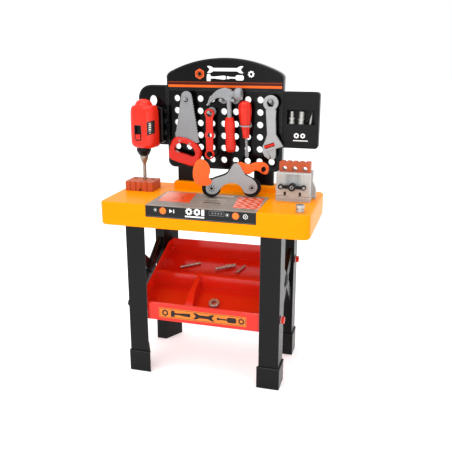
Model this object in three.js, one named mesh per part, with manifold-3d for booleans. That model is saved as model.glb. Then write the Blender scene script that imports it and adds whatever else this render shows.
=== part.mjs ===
// Toy workbench: a moulded bench on two X-braced side frames, with a tilted storage tray below,
// a pegboard with hanging tools above, a drill wing, a bit pouch, a vise and a build-it-yourself bike.
// Millimetres, +Z up, +X to the bench's right, -Y towards the child. The origin is on the floor,
// below the middle of the bench.

import * as THREE from 'three';
import { mergeVertices } from 'three/addons/utils/BufferGeometryUtils.js';
import Module from 'manifold-3d';

const wasm = await Module();
wasm.setup();

// ---------------------------------------------------------------------------------- sizes

const GAP = 0.3; // air between two pieces that touch
const DEG = Math.PI / 180;

const BENCH = {
  width: 520,
  depth: 252,
  top: 452.7,
  skirtFront: 58.7,
  skirtBack: 52,
  plate: 5,
  wall: 3.5,
  corner: 16,
  edge: 3,
};
const PANEL = { left: -138, right: 136, back: 28, thickness: 1.5, inset: 0.3 };
const FASCIA = { height: 30.2 };
const LEDGE = { halfWidth: 139, depth: 50, height: 16.5, corner: 5 };

const LEG_INSET = { side: 65, front: 7, rear: 6 }; // from the bench's edges to the legs' outer faces
const LEG = {
  outer: BENCH.width / 2 - LEG_INSET.side,
  frontFace: BENCH.depth / 2 - LEG_INSET.front,
  backFace: BENCH.depth / 2 - LEG_INSET.rear,
  wide: 50,
  narrow: 24,
  wall: 3,
};
const LEG_DEPTH = { front: 53, rear: 48 };
const LEG_CLEARANCE = 0.6; // between a leg's slanted side and the tray
const BRACE = { centreZ: 246, upperRise: 50, lowerDrop: 72, armWidth: 27, thickness: 12, bossRadius: 19 };
const FOOT = { frontHeight: 58, rearHeight: 63, wall: 2.7, sole: 4 };

const TRAY_INSET = { side: 33, front: 6, rear: 16 }; // from the legs' outer faces to the tray
const TRAY = {
  halfWidth: LEG.outer - TRAY_INSET.side,
  front: TRAY_INSET.front - LEG.frontFace,
  back: LEG.backFace - TRAY_INSET.rear,
  wall: 3,
  slope: 0.4,
  floorAtFront: 169,
  frontTop: 192,
  frontBottom: 148,
  shoulderFromFront: 38,
  rimOverFloor: 43,
  dividerY: -14,
  dividerThickness: 6,
  dividerDrop: 9,
  wedgeX: -40,
  wedgeBase: 26,
  wedgeTop: 6,
};
const TRAY_BOLT = { radius: 4, headRadius: 9, headHeight: 7, washerRadius: 11, washer: 1.6, reach: 4 };
const TRAY_BOLT_SEAT = { front: { inset: 13, overFloor: 6.8 }, rear: { inset: 7, overFloor: 18 } };

const BOARD_SEAT = { fromBack: 43.4, overBench: 54.3 }; // the board's face and lower edge on the bench
const BOARD = {
  halfWidth: 154,
  front: BENCH.depth / 2 - BOARD_SEAT.fromBack,
  bottom: BENCH.top + BOARD_SEAT.overBench,
  height: 205,
  depth: 25,
  face: 8,
  rim: 3,
  corner: 18,
};
const HOLES = { columns: 9, rows: 6, pitchX: 31.7, pitchZ: 31.3, radius: 8.1, lowest: 24.7, sides: 10 };
const POST = { x: 105, width: 52, thickness: 15, seat: 12, intoBoard: 14 };
const HEADER = { face: 4, rim: 3, side: 30, rise: 78, shoulder: 17 };
const WING = {
  width: 80,
  below: 58.5,
  height: 155.5,
  face: 4,
  rim: 3,
  depth: 14,
  topRadius: 35,
  lowRadius: 8,
};
const WING_HOLE = { fromBoard: 38.5, underTop: 40, halfWidth: 10, halfHeight: 13 };
const POUCH = { width: 90.2, below: 64, height: 139, proud: 5, depth: 26, corner: 8 };
const POCKET = { left: 10.7, width: 70, floor: 12, front: 3, back: 4, lip: 60, windowHeight: 36 };

const PEG = {
  plugLength: 7,
  flangeRadius: 11,
  flange: 2,
  rodRadius: 4,
  knobRadius: 4.25,
  reach: 33,
  hang: 0.5,
};
const PLUG_CLEARANCE = 0.8; // a plug-in peg's clearance in its board hole
const TOOL_Y = BOARD.front - 21.6; // the plane that the hanging tools are centred on

const SAW = { column: -3, row: 5, hole: 6.3, blade: 3, handle: 18, slot: 0.35, teeth: 16, toothDepth: 3 };
const SPANNER = {
  column: -1,
  row: 4,
  holes: [8, 6, 8.5],
  at: [0, -55, -105],
  ring: 12.5,
  bar: 9,
  thickness: 6,
};
const HAMMER = { leftColumn: 0, row: 5, neckX: 19, neckRadius: 6, headThickness: 15, tilt: 2.5 };
const HAMMER_GRIP = { top: -48, bottom: -137, socket: 22 };
const POLL = { start: 18.5, end: 34, radius: 15.5, centreZ: 8.5 };
const DRIVER = {
  column: 2,
  row: 3,
  shank: 3,
  socket: 16,
  tip: -80,
  tilt: 3,
  ring: 13.2,
  ringOuter: 16.2,
  ringHeight: 3,
};
const WRENCH = { column: 4, row: 5, ring: 19, hex: 10.5, thickness: 9, tilt: 1.5, jawTilt: 18 };

// where the drill stands on the bench
const DRILL_SEAT = {
  fromEdge: 51,
  fromBoard: 36.6,
  overBench: 109.3,
};
const DRILL = {
  x: DRILL_SEAT.fromEdge - BENCH.width / 2,
  y: BOARD.front - DRILL_SEAT.fromBoard,
  bottom: BENCH.top + DRILL_SEAT.overBench,
  yaw: -12,
  shoulder: 110,
  dome: 126,
  left: 28,
  right: 36,
  half: 30,
};
const WINDOW = { x: 4, width: 21, low: 21, high: 61, depth: 5 };
const SWITCH = { width: 15, height: 14, thickness: 6.5, margin: 3 };
const CHUCK = { radius: 19, noseRadius: 12, length: 21, coneLength: 19, bitRadius: 4.7 };
const GRIP = { reach: 18, low: 13, high: 106, front: 8, back: 30 };

const BRICK = {
  width: 76,
  depth: 61,
  height: 24.5,
  hole: 6,
  pitch: 25,
  holeFromBack: 17,
  groove: 2.5,
  grooveWidth: 5,
};

const VISE_SEAT = { fromEdge: 61.5, fromBoard: 85.6 }; // the vise's middle and its front on the bench
const VISE = {
  x: BENCH.width / 2 - VISE_SEAT.fromEdge,
  front: BOARD.front - VISE_SEAT.fromBoard,
  width: 84,
  base: 12.3,
  jawHeight: 58,
  jaw: 17,
  hub: 38,
  hubX: -1,
};
const TONGUE = { width: 20, height: 6, length: 34 };
const LEVER = {
  halfLength: 34.5,
  endRadius: 6.5,
  barWidth: 8,
  thickness: 5,
  standoff: 5.5,
  hubRadius: 9.5,
  shank: 4,
};
const VISE_BRICK_LIFT = 34; // how far the clamped block's lower edge is above the bench

const BIKE = { x: 41, y: 8, yaw: 18, plate: 4, gauge: 8, axle: 3.5, hubX: 50.5, spacer: 4 };
const WHEEL = { radius: 24, width: 14, hubRadius: 8 };
const LOOSE_NUT = { fromEdge: 28, fromFront: 29 }; // the nut that lies on the bench

// ---------------------------------------------------------------------------- colours

const COLOUR = {
  yellow: 0xffb000,
  black: 0x1b1c1e,
  red: 0xd81e10,
  tool: 0xe8301e,
  steel: 0x9fa3a6,
  silver: 0xb9bcbe,
  brick: 0xc2502c,
  orange: 0xff7a1e,
  print: 0x8a8784,
};

const plastic = (colour, roughness = 0.4, metalness = 0) =>
  new THREE.MeshStandardMaterial({ color: colour, roughness, metalness, flatShading: true });

// ------------------------------------------------------------------------ outline helpers

const polygon = (points) => new THREE.Shape(points.map(([a, b]) => new THREE.Vector2(a, b)));

const rectangle = (a0, b0, a1, b1) =>
  polygon([
    [a0, b0],
    [a1, b0],
    [a1, b1],
    [a0, b1],
  ]);

/** Points of an ellipse (or a regular polygon), anticlockwise. */
function ring(a, b, radiusA, radiusB = radiusA, sides = 16, turn = 0) {
  return Array.from({ length: sides }, (_, i) => {
    const angle = ((i + turn) / sides) * 2 * Math.PI;
    return [a + radiusA * Math.cos(angle), b + radiusB * Math.sin(angle)];
  });
}

const disc = (a, b, radius, sides = 16, turn = 0) => polygon(ring(a, b, radius, radius, sides, turn));

/** A rectangle whose corners (low left, low right, high right, high left) have their own radii. */
function rounded(a0, b0, a1, b1, radii, segments = 5) {
  const all = Array.isArray(radii) ? radii : [radii, radii, radii, radii];
  const [lowLeft, lowRight, highRight, highLeft] = all;
  const corners = [
    [a0 + lowLeft, b0 + lowLeft, lowLeft, 180],
    [a1 - lowRight, b0 + lowRight, lowRight, 270],
    [a1 - highRight, b1 - highRight, highRight, 0],
    [a0 + highLeft, b1 - highLeft, highLeft, 90],
  ];
  const points = [];
  for (const [a, b, radius, start] of corners) {
    const steps = radius > 0 ? segments : 0;
    for (let i = 0; i <= steps; i += 1) {
      const angle = (start + (steps ? (90 * i) / steps : 0)) * DEG;
      points.push([a + radius * Math.cos(angle), b + radius * Math.sin(angle)]);
    }
  }
  return points;
}

/** Moves each side of a convex anticlockwise outline inwards (or outwards, if negative). */
function inset(points, distance) {
  const sides = points.map(([a, b], i) => {
    const [c, d] = points[(i + 1) % points.length];
    const length = Math.hypot(c - a, d - b);
    const normal = [-(d - b) / length, (c - a) / length];
    return { normal, offset: normal[0] * a + normal[1] * b + distance };
  });
  return sides.map((side, i) => {
    const last = sides[(i + sides.length - 1) % sides.length];
    const det = last.normal[0] * side.normal[1] - last.normal[1] * side.normal[0];
    return [
      (last.offset * side.normal[1] - side.offset * last.normal[1]) / det,
      (side.offset * last.normal[0] - last.offset * side.normal[0]) / det,
    ];
  });
}

/** A closed smooth outline through the points. */
function smooth(points, samples) {
  const knots = points.map(([a, b]) => new THREE.Vector3(a, b, 0));
  const curve = new THREE.CatmullRomCurve3(knots, true, 'centripetal');
  return curve.getPoints(samples).slice(0, -1).map((p) => [p.x, p.y]);
}

/** The four corners of a bar of the given width between two points. */
function bar([a0, b0], [a1, b1], width) {
  const length = Math.hypot(a1 - a0, b1 - b0);
  const na = (-(b1 - b0) / length) * (width / 2);
  const nb = ((a1 - a0) / length) * (width / 2);
  return [
    [a0 - na, b0 - nb],
    [a1 - na, b1 - nb],
    [a1 + na, b1 + nb],
    [a0 + na, b0 + nb],
  ];
}

// -------------------------------------------------------------------------- solid helpers

const BASES = {
  x: [new THREE.Vector3(0, 1, 0), new THREE.Vector3(0, 0, 1), new THREE.Vector3(1, 0, 0)],
  y: [new THREE.Vector3(1, 0, 0), new THREE.Vector3(0, 0, 1), new THREE.Vector3(0, -1, 0)],
  z: [new THREE.Vector3(1, 0, 0), new THREE.Vector3(0, 1, 0), new THREE.Vector3(0, 0, 1)],
};

/** Extrudes an outline along an axis. The outline's axes are Y Z for x, X Z for y, and X Y for z. */
function extrude(outline, axis, from, to, bevel = 0, bevelSegments = 2) {
  const shape = Array.isArray(outline) ? polygon(outline) : outline;
  const geometry = new THREE.ExtrudeGeometry(shape, {
    depth: to - from - 2 * bevel,
    bevelEnabled: bevel > 0,
    bevelThickness: bevel,
    bevelSize: bevel,
    bevelOffset: -bevel,
    bevelSegments,
  });
  geometry.translate(0, 0, bevel);
  geometry.applyMatrix4(new THREE.Matrix4().makeBasis(...BASES[axis]));
  if (axis === 'x') geometry.translate(from, 0, 0);
  if (axis === 'y') geometry.translate(0, to, 0);
  if (axis === 'z') geometry.translate(0, 0, from);
  return geometry;
}

const block = (x0, y0, z0, x1, y1, z1) => extrude(rectangle(x0, y0, x1, y1), 'z', z0, z1);

/** Turns a profile of [radius, height] pairs, which starts and ends on the axis, about Z. */
function turned(profile, sides = 16) {
  const points = profile.map(([radius, height]) => new THREE.Vector2(radius, height));
  return new THREE.LatheGeometry(points, sides).rotateX(90 * DEG);
}

/** Makes a closed solid: shared corners merged, collapsed triangles dropped, faces pointing out. */
function solid(piece) {
  if (piece instanceof wasm.Manifold) return piece;
  const bare = piece.clone();
  bare.deleteAttribute('normal');
  bare.deleteAttribute('uv');
  const merged = mergeVertices(bare, 1e-4);
  const position = merged.attributes.position;
  const corner = (i) => new THREE.Vector3().fromBufferAttribute(position, i);
  const triangles = [];
  let volume = 0;
  for (let i = 0; i < merged.index.count; i += 3) {
    const [a, b, c] = [0, 1, 2].map((k) => merged.index.getX(i + k));
    if (a === b || b === c || c === a) continue;
    triangles.push([a, b, c]);
    volume += corner(a).dot(corner(b).cross(corner(c)));
  }
  const wound = volume < 0 ? triangles.map(([a, b, c]) => [a, c, b]) : triangles;
  const mesh = new wasm.Mesh({
    numProp: 3,
    vertProperties: new Float32Array(position.array),
    triVerts: new Uint32Array(wound.flat()),
  });
  return new wasm.Manifold(mesh);
}

const join = (...pieces) => pieces.map(solid).reduce((whole, piece) => whole.add(piece));
const cut = (base, ...tools) => tools.reduce((whole, tool) => whole.subtract(solid(tool)), solid(base));
const common = (a, b) => solid(a).intersect(solid(b));

function toGeometry(piece) {
  const mesh = solid(piece).getMesh();
  const geometry = new THREE.BufferGeometry();
  geometry.setAttribute('position', new THREE.BufferAttribute(new Float32Array(mesh.vertProperties), 3));
  geometry.setIndex(new THREE.BufferAttribute(new Uint32Array(mesh.triVerts), 1));
  geometry.computeVertexNormals();
  return geometry;
}

/** The same solid on the other side of the X = 0 plane. */
const mirrored = (piece) => solid(toGeometry(piece).scale(-1, 1, 1));

function named(name, piece, material) {
  const mesh = new THREE.Mesh(toGeometry(piece), material);
  mesh.name = name;
  return mesh;
}

/** A group at a place, turned by yaw about Z, tilt about Y or pitch about X (degrees). */
function placed(meshes, x, y, z, { yaw = 0, tilt = 0, pitch = 0 } = {}) {
  const group = new THREE.Group();
  group.position.set(x, y, z);
  group.rotation.set(pitch * DEG, tilt * DEG, yaw * DEG, 'ZYX');
  group.add(...meshes);
  return group;
}

// -------------------------------------------------------------------------------- the bench

const benchFront = -BENCH.depth / 2;
const benchBack = BENCH.depth / 2;
const benchUnderside = BENCH.top - BENCH.plate;
const recessDepth = PANEL.thickness + PANEL.inset + GAP;
const ledgeTop = BENCH.top + LEDGE.height;
const boardBack = BOARD.front + BOARD.depth;
const postFront = BOARD.front + BOARD.face + 1;

function postPlan(side, clearance) {
  return rectangle(
    side * POST.x - POST.width / 2 - clearance,
    postFront - clearance,
    side * POST.x + POST.width / 2 + clearance,
    postFront + POST.thickness + clearance,
  );
}

function buildBench() {
  const halfWidth = BENCH.width / 2;
  const low = BENCH.top - BENCH.skirtFront;
  const plan = (shrink) => {
    const [x, y] = [halfWidth - shrink, benchBack - shrink];
    return rounded(-x, -y, x, y, BENCH.corner - shrink, 4);
  };
  const outer = extrude(plan(0), 'z', low, BENCH.top, BENCH.edge, 1);
  const hollow = extrude(plan(BENCH.wall), 'z', low - 1, benchUnderside);
  const rise = BENCH.skirtFront - BENCH.skirtBack;
  const wedge = extrude(
    [
      [benchFront + BENCH.corner, low - 1],
      [benchBack + 1, low - 1],
      [benchBack + 1, low + rise],
      [benchFront + BENCH.corner, low],
    ],
    'x',
    -halfWidth - 1,
    halfWidth + 1,
  );
  const ledge = extrude(
    rounded(-LEDGE.halfWidth, benchBack - LEDGE.depth, LEDGE.halfWidth, benchBack - BENCH.edge, LEDGE.corner),
    'z',
    BENCH.top - BENCH.plate,
    ledgeTop,
    BENCH.edge,
    1,
  );
  const recessFloor = BENCH.top - recessDepth;
  const topRecess = block(PANEL.left, benchFront - 1, recessFloor, PANEL.right, PANEL.back, ledgeTop);
  const frontRecess = block(
    PANEL.left,
    benchFront - 1,
    BENCH.top - FASCIA.height,
    PANEL.right,
    benchFront + recessDepth,
    ledgeTop,
  );
  const sockets = [-1, 1].map((side) => extrude(postPlan(side, GAP), 'z', ledgeTop - POST.seat, ledgeTop + 1));
  return cut(join(cut(outer, hollow, wedge), ledge), topRecess, frontRecess, ...sockets);
}

function buildPanel() {
  const high = BENCH.top - PANEL.inset;
  return block(
    PANEL.left + GAP,
    benchFront + PANEL.inset,
    high - PANEL.thickness,
    PANEL.right - GAP,
    PANEL.back - GAP,
    high,
  );
}

function buildFascia() {
  const front = benchFront + PANEL.inset;
  return block(
    PANEL.left + GAP,
    front,
    BENCH.top - FASCIA.height + GAP,
    PANEL.right - GAP,
    front + PANEL.thickness,
    BENCH.top - PANEL.inset - PANEL.thickness - GAP,
  );
}

// -------------------------------------------------------------------- side frames and feet

const legPlans = {
  front: [
    [LEG.outer - LEG.wide, -LEG.frontFace],
    [LEG.outer, -LEG.frontFace],
    [LEG.outer, -LEG.frontFace + LEG_DEPTH.front],
    [LEG.outer - LEG.narrow, -LEG.frontFace + LEG_DEPTH.front],
  ],
  rear: [
    [LEG.outer - LEG.narrow, LEG.backFace - LEG_DEPTH.rear],
    [LEG.outer, LEG.backFace - LEG_DEPTH.rear],
    [LEG.outer, LEG.backFace],
    [LEG.outer - LEG.wide, LEG.backFace],
  ],
};
const legBottom = FOOT.sole + GAP;
const braceX = LEG.outer - LEG.narrow / 2;

const trayFloor = (y) => TRAY.floorAtFront + TRAY.slope * (y - TRAY.front);

/** Where the bolts near one end of the tray are, given that end's y. */
const boltSeat = (y, overFloor) => ({ y, z: trayFloor(y) + overFloor });
const trayBoltAt = {
  front: boltSeat(TRAY.front + TRAY_BOLT_SEAT.front.inset, TRAY_BOLT_SEAT.front.overFloor),
  rear: boltSeat(TRAY.back - TRAY_BOLT_SEAT.rear.inset, TRAY_BOLT_SEAT.rear.overFloor),
};

const boltHole = ({ y, z }) =>
  extrude(disc(y, z, TRAY_BOLT.radius + GAP, 16), 'x', LEG.outer - LEG.wide - 30, LEG.outer + 10);

function buildSideFrame() {
  const high = benchUnderside - GAP;
  const legs = Object.values(legPlans).map((plan) =>
    cut(extrude(plan, 'z', legBottom, high), extrude(inset(plan, LEG.wall), 'z', legBottom - 1, high + 1)),
  );
  const frontEnd = -LEG.frontFace + LEG_DEPTH.front - LEG.wall / 2;
  const rearEnd = LEG.backFace - LEG_DEPTH.rear + LEG.wall / 2;
  const centre = [(frontEnd + rearEnd) / 2, BRACE.centreZ];
  const ends = [frontEnd, rearEnd].flatMap((y) => [
    [y, BRACE.centreZ + BRACE.upperRise],
    [y, BRACE.centreZ - BRACE.lowerDrop],
  ]);
  const [x0, x1] = [braceX - BRACE.thickness / 2, braceX + BRACE.thickness / 2];
  const arms = ends.map((end) => extrude(bar(centre, end, BRACE.armWidth), 'x', x0, x1));
  const boss = extrude(disc(...centre, BRACE.bossRadius, 24), 'x', x0 - 1.5, x1 + 1.5);
  return cut(join(...legs, ...arms, boss), boltHole(trayBoltAt.front), boltHole(trayBoltAt.rear));
}

function buildFoot(which) {
  const plan = legPlans[which];
  const height = which === 'front' ? FOOT.frontHeight : FOOT.rearHeight;
  const boot = extrude(inset(plan, -FOOT.wall - GAP), 'z', 0, height);
  return cut(boot, extrude(inset(plan, -GAP), 'z', FOOT.sole, height + 1));
}

// ------------------------------------------------------------------------------ storage tray

const trayRim = (y) => trayFloor(y) + TRAY.rimOverFloor;
const trayShoulder = TRAY.front + TRAY.shoulderFromFront;

/** How far the inner, slanted side of the legs is from the middle, at a depth. */
function legInner(y) {
  const slant = LEG.wide - LEG.narrow;
  const front = (y + LEG.frontFace) / LEG_DEPTH.front;
  const rear = (LEG.backFace - y) / LEG_DEPTH.rear;
  return LEG.outer - LEG.wide + slant * Math.min(1, front, rear);
}

const trayHalf = (y) => Math.min(TRAY.halfWidth, legInner(y) - LEG_CLEARANCE);

/** The tray's plan: it narrows at both ends to pass between the slanted sides of the legs. */
function trayPlan() {
  const share = (TRAY.halfWidth + LEG_CLEARANCE - LEG.outer + LEG.wide) / (LEG.wide - LEG.narrow);
  const stations = [
    TRAY.front,
    Math.max(TRAY.front + 1, -LEG.frontFace + share * LEG_DEPTH.front),
    Math.min(TRAY.back - 1, LEG.backFace - share * LEG_DEPTH.rear),
    TRAY.back,
  ];
  const right = stations.map((y) => [trayHalf(y), y]);
  const left = stations.map((y) => [-trayHalf(y), y]).reverse();
  return [...right, ...left];
}

function buildTray() {
  const { front, back, wall, dividerY, dividerThickness } = TRAY;
  const reach = TRAY.halfWidth + 5;
  const sky = trayRim(back) + 40;
  const ends = [front + wall, back - wall];
  const divider = [dividerY - dividerThickness / 2, dividerY + dividerThickness / 2];
  const side = [
    [front, TRAY.frontBottom],
    [front + wall, TRAY.frontBottom],
    [front + wall, trayFloor(front + wall) - wall],
    [back, trayFloor(back) - wall],
    [back, trayRim(back)],
    [trayShoulder, trayRim(trayShoulder)],
    [front, TRAY.frontTop],
  ];
  const space = (from, to) => [
    [from, trayFloor(from)],
    [to, trayFloor(to)],
    [to, sky],
    [from, sky],
  ];
  const overDividers = [
    [ends[0], TRAY.frontTop - TRAY.dividerDrop / 2],
    [trayShoulder, trayRim(trayShoulder) - TRAY.dividerDrop],
    [ends[1], trayRim(ends[1]) - TRAY.dividerDrop],
    [ends[1], sky],
    [ends[0], sky],
  ];
  const plan = trayPlan();
  const body = common(extrude(side, 'x', -reach, reach), extrude(plan, 'z', TRAY.frontBottom - 1, sky));
  const inside = extrude(inset(plan, wall), 'z', TRAY.frontBottom - 1, sky);
  const wedge = extrude(
    [
      [TRAY.wedgeX - TRAY.wedgeBase / 2, trayFloor(front) - wall],
      [TRAY.wedgeX + TRAY.wedgeBase / 2, trayFloor(front) - wall],
      [TRAY.wedgeX + TRAY.wedgeTop / 2, trayRim(dividerY)],
      [TRAY.wedgeX - TRAY.wedgeTop / 2, trayRim(dividerY)],
    ],
    'y',
    front,
    dividerY,
  );
  const frontSpace = cut(extrude(space(ends[0], divider[0]), 'x', -reach, reach), wedge);
  const rearSpace = extrude(space(divider[1], ends[1]), 'x', -reach, reach);
  const spaces = join(frontSpace, rearSpace, extrude(overDividers, 'x', -reach, reach));
  const holes = Object.values(trayBoltAt).map(boltHole);
  return cut(body, common(spaces, inside), ...holes, ...holes.map(mirrored));
}

/** A bolt along X: hexagonal head and washer outside the leg, shank through leg and tray wall. */
function buildTrayBolt({ y, z }) {
  const seat = LEG.outer + GAP;
  const tip = trayHalf(y) - TRAY.wall - TRAY_BOLT.reach;
  const washer = extrude(disc(y, z, TRAY_BOLT.washerRadius, 20), 'x', seat, seat + TRAY_BOLT.washer);
  const head = extrude(disc(y, z, TRAY_BOLT.headRadius, 6), 'x', seat, seat + TRAY_BOLT.washer + TRAY_BOLT.headHeight);
  const shank = extrude(disc(y, z, TRAY_BOLT.radius, 12), 'x', tip, seat + 1);
  return join(shank, washer, head);
}

// ---------------------------------------------------------------- board, header and side panels

const boardTop = BOARD.bottom + BOARD.height;
const holeX = (column) => column * HOLES.pitchX;
const holeZ = (row) => BOARD.bottom + HOLES.lowest + row * HOLES.pitchZ;

function boardOutline(shrink) {
  const radius = BOARD.corner - shrink;
  return rounded(
    -BOARD.halfWidth + shrink,
    BOARD.bottom + shrink,
    BOARD.halfWidth - shrink,
    boardTop - shrink,
    [radius, radius, 0, 0],
  );
}

function buildBoard() {
  const face = polygon(boardOutline(0));
  const reach = (HOLES.columns - 1) / 2;
  for (let column = -reach; column <= reach; column += 1) {
    for (let row = 0; row < HOLES.rows; row += 1) {
      face.holes.push(disc(holeX(column), holeZ(row), HOLES.radius, HOLES.sides));
    }
  }
  const rim = polygon(boardOutline(0));
  rim.holes.push(polygon(boardOutline(BOARD.rim)));
  const plate = extrude(face, 'y', BOARD.front, BOARD.front + BOARD.face);
  const wall = extrude(rim, 'y', BOARD.front, boardBack);
  const notches = [-1, 1].map((side) => extrude(postPlan(side, GAP), 'z', BOARD.bottom - 1, BOARD.bottom + 5));
  return cut(join(plate, wall), ...notches);
}

const buildPost = (side) =>
  extrude(postPlan(side, 0), 'z', ledgeTop - POST.seat + GAP, BOARD.bottom + POST.intoBoard, 1, 1);

/** The header's outline: straight sides, round shoulders and a shallow arch on top. */
function headerOutline(shrink) {
  const half = BOARD.halfWidth - shrink;
  const low = boardTop + GAP + shrink;
  const sideTop = boardTop + HEADER.side - shrink / 2;
  const crown = boardTop + HEADER.rise - shrink;
  const archHalf = half - HEADER.shoulder;
  const archEnd = sideTop + HEADER.shoulder;
  const sagitta = crown - archEnd;
  const radius = (archHalf ** 2 + sagitta ** 2) / (2 * sagitta);
  const spread = Math.asin(archHalf / radius);
  const steps = 16;
  const arch = Array.from({ length: steps + 1 }, (_, i) => {
    const angle = spread * (1 - (2 * i) / steps);
    return [radius * Math.sin(angle), crown - radius + radius * Math.cos(angle)];
  });
  const bulge = HEADER.shoulder * 0.3;
  return [
    [-half, low],
    [half, low],
    [half, sideTop],
    [half - bulge * 0.6, archEnd - bulge * 1.6],
    ...arch,
    [-half + bulge * 0.6, archEnd - bulge * 1.6],
    [-half, sideTop],
  ];
}

/** A shallow shell that is open at the back, from a face outline and the outline of its hollow. */
function shell(outline, hollow, front, depth, face) {
  return cut(extrude(outline, 'y', front, front + depth), extrude(hollow, 'y', front + face, front + depth + 1));
}

const buildHeader = () =>
  shell(headerOutline(0), headerOutline(HEADER.rim), BOARD.front, BOARD.depth, HEADER.face);

const wingLow = BOARD.bottom + WING.below;

function buildWing() {
  const right = -BOARD.halfWidth - GAP;
  const left = right - WING.width;
  const outline = (shrink) =>
    rounded(left + shrink, wingLow + shrink, right - shrink, wingLow + WING.height - shrink, [
      WING.lowRadius - shrink,
      0,
      0,
      WING.topRadius - shrink,
    ]);
  const holeAt = [right - WING_HOLE.fromBoard, wingLow + WING.height - WING_HOLE.underTop];
  const eyelet = (grow) => ring(...holeAt, WING_HOLE.halfWidth + grow, WING_HOLE.halfHeight + grow, 20);
  const panel = shell(outline(0), outline(WING.rim), BOARD.front, WING.depth, WING.face);
  const collar = extrude(eyelet(WING.rim), 'y', BOARD.front, BOARD.front + WING.depth);
  return cut(join(panel, collar), extrude(eyelet(0), 'y', BOARD.front - 1, BOARD.front + WING.depth + 1));
}

const pouchLeft = BOARD.halfWidth + GAP;
const pouchLow = BOARD.bottom + POUCH.below;
const pouchFront = BOARD.front - POUCH.proud;
const pocketFloor = pouchLow + POCKET.floor;
const pocketFront = pouchFront + POCKET.front;
const pocketBack = pouchFront + POUCH.depth - POCKET.back;

/** A box that is open at the top, with a window in its front above the pocket's lip. */
function buildPouch() {
  const right = pouchLeft + POUCH.width;
  const high = pouchLow + POUCH.height;
  const outline = rounded(pouchLeft, pouchLow, right, high, [0, POUCH.corner, POUCH.corner, 0]);
  const body = extrude(outline, 'y', pouchFront, pouchFront + POUCH.depth, 1.5, 1);
  const [x0, x1] = [pouchLeft + POCKET.left, pouchLeft + POCKET.left + POCKET.width];
  const lip = pouchLow + POCKET.lip;
  return cut(
    body,
    block(x0, pocketFront, pocketFloor, x1, pocketBack, high + 1),
    block(x0, pouchFront - 1, lip, x1, pocketBack, lip + POCKET.windowHeight),
  );
}

// -------------------------------------------------------------------------------------- pegs

/** A plug-in peg along -Y from the board's face: plug, flange, rod and round knob. */
function pegProfile() {
  const { plugLength, flangeRadius, flange, rodRadius, knobRadius, reach } = PEG;
  const plugRadius = HOLES.radius - PLUG_CLEARANCE;
  return [
    [0, -plugLength],
    [plugRadius, -plugLength],
    [plugRadius, GAP],
    [flangeRadius, GAP],
    [flangeRadius, GAP + flange],
    [rodRadius, GAP + flange + 1],
    [rodRadius, reach - knobRadius * 2],
    [knobRadius, reach - knobRadius],
    [knobRadius * 0.7, reach - 1],
    [0, reach],
  ];
}

const buildPeg = () => turned(pegProfile(), 12).rotateX(90 * DEG);

const atHole = (column, row, mesh) => placed([mesh], holeX(column), BOARD.front, holeZ(row));

/** The screwdriver's holder: a plug and flange with an arm that carries a level ring. */
function buildDriverRing() {
  const reach = BOARD.front - TOOL_Y;
  const plug = turned(
    [
      [0, -PEG.plugLength],
      [HOLES.radius - PLUG_CLEARANCE, -PEG.plugLength],
      [HOLES.radius - PLUG_CLEARANCE, GAP],
      [PEG.flangeRadius, GAP],
      [PEG.flangeRadius, GAP + PEG.flange],
      [0, GAP + PEG.flange],
    ],
    16,
  ).rotateX(90 * DEG);
  const half = DRIVER.ringHeight / 2;
  const arm = block(-3, -reach + DRIVER.ring + 1, -half, 3, -1, half);
  const loop = extrude(disc(0, -reach, DRIVER.ringOuter, 20), 'z', -half, half);
  const hole = extrude(disc(0, -reach, DRIVER.ring, 20), 'z', -half - 1, half + 1);
  return cut(join(plug, arm, loop), hole);
}

/** Where a hanging hole's centre is, below the rod that holds it up. */
const hangZ = (row, hole) => holeZ(row) + PEG.rodRadius - hole + PEG.hang;

// --------------------------------------------------------------------------------------- saw

const sawHandleOutline = [
  [-31, -97],
  [-45, -122],
  [-47, -150],
  [-36, -157],
  [-8, -165],
  [20, -170],
  [40, -146],
  [38, -123],
  [16, -103],
  [-8, -96],
];
const sawOpening = [
  [-27, -116],
  [-31, -131],
  [-6, -139],
  [20, -145],
  [26, -137],
  [16, -119],
  [-10, -110],
];

function sawBladeOutline(seat) {
  const [toothTop, toothBottom] = [
    [16, 2],
    [33, -109],
  ];
  const teeth = Array.from({ length: SAW.teeth }, (_, i) => {
    const t = (i + 1) / SAW.teeth;
    const s = (i + 0.35) / SAW.teeth;
    const at = (k, out) => [
      toothTop[0] + (toothBottom[0] - toothTop[0]) * k + out,
      toothTop[1] + (toothBottom[1] - toothTop[1]) * k,
    ];
    return [at(s, SAW.toothDepth), at(t, 0)];
  }).flat();
  const nose = ring(2, 9, 14, 13, 16)
    .filter(([, z]) => z > 8)
    .reverse();
  return [[-17, -20], ...nose, toothTop, ...teeth, [26, seat], [-22, seat], [-30, -95]].reverse();
}

function buildSawBlade() {
  const half = SAW.blade / 2;
  const plate = extrude(sawBladeOutline(-109), 'y', -half, half);
  return cut(plate, extrude(disc(0, 0, SAW.hole, 20), 'y', -half - 1, half + 1));
}

function buildSawHandle() {
  const half = SAW.handle / 2;
  const grip = cut(
    extrude(smooth(sawHandleOutline, 28), 'y', -half, half, 3, 1),
    extrude(smooth(sawOpening, 20), 'y', -half - 1, half + 1),
  );
  const slot = SAW.blade / 2 + SAW.slot;
  return cut(grip, extrude([[-60, -110], [60, -110], [60, -80], [-60, -80]], 'y', -slot, slot));
}

// ----------------------------------------------------------------------------------- spanner

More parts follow.
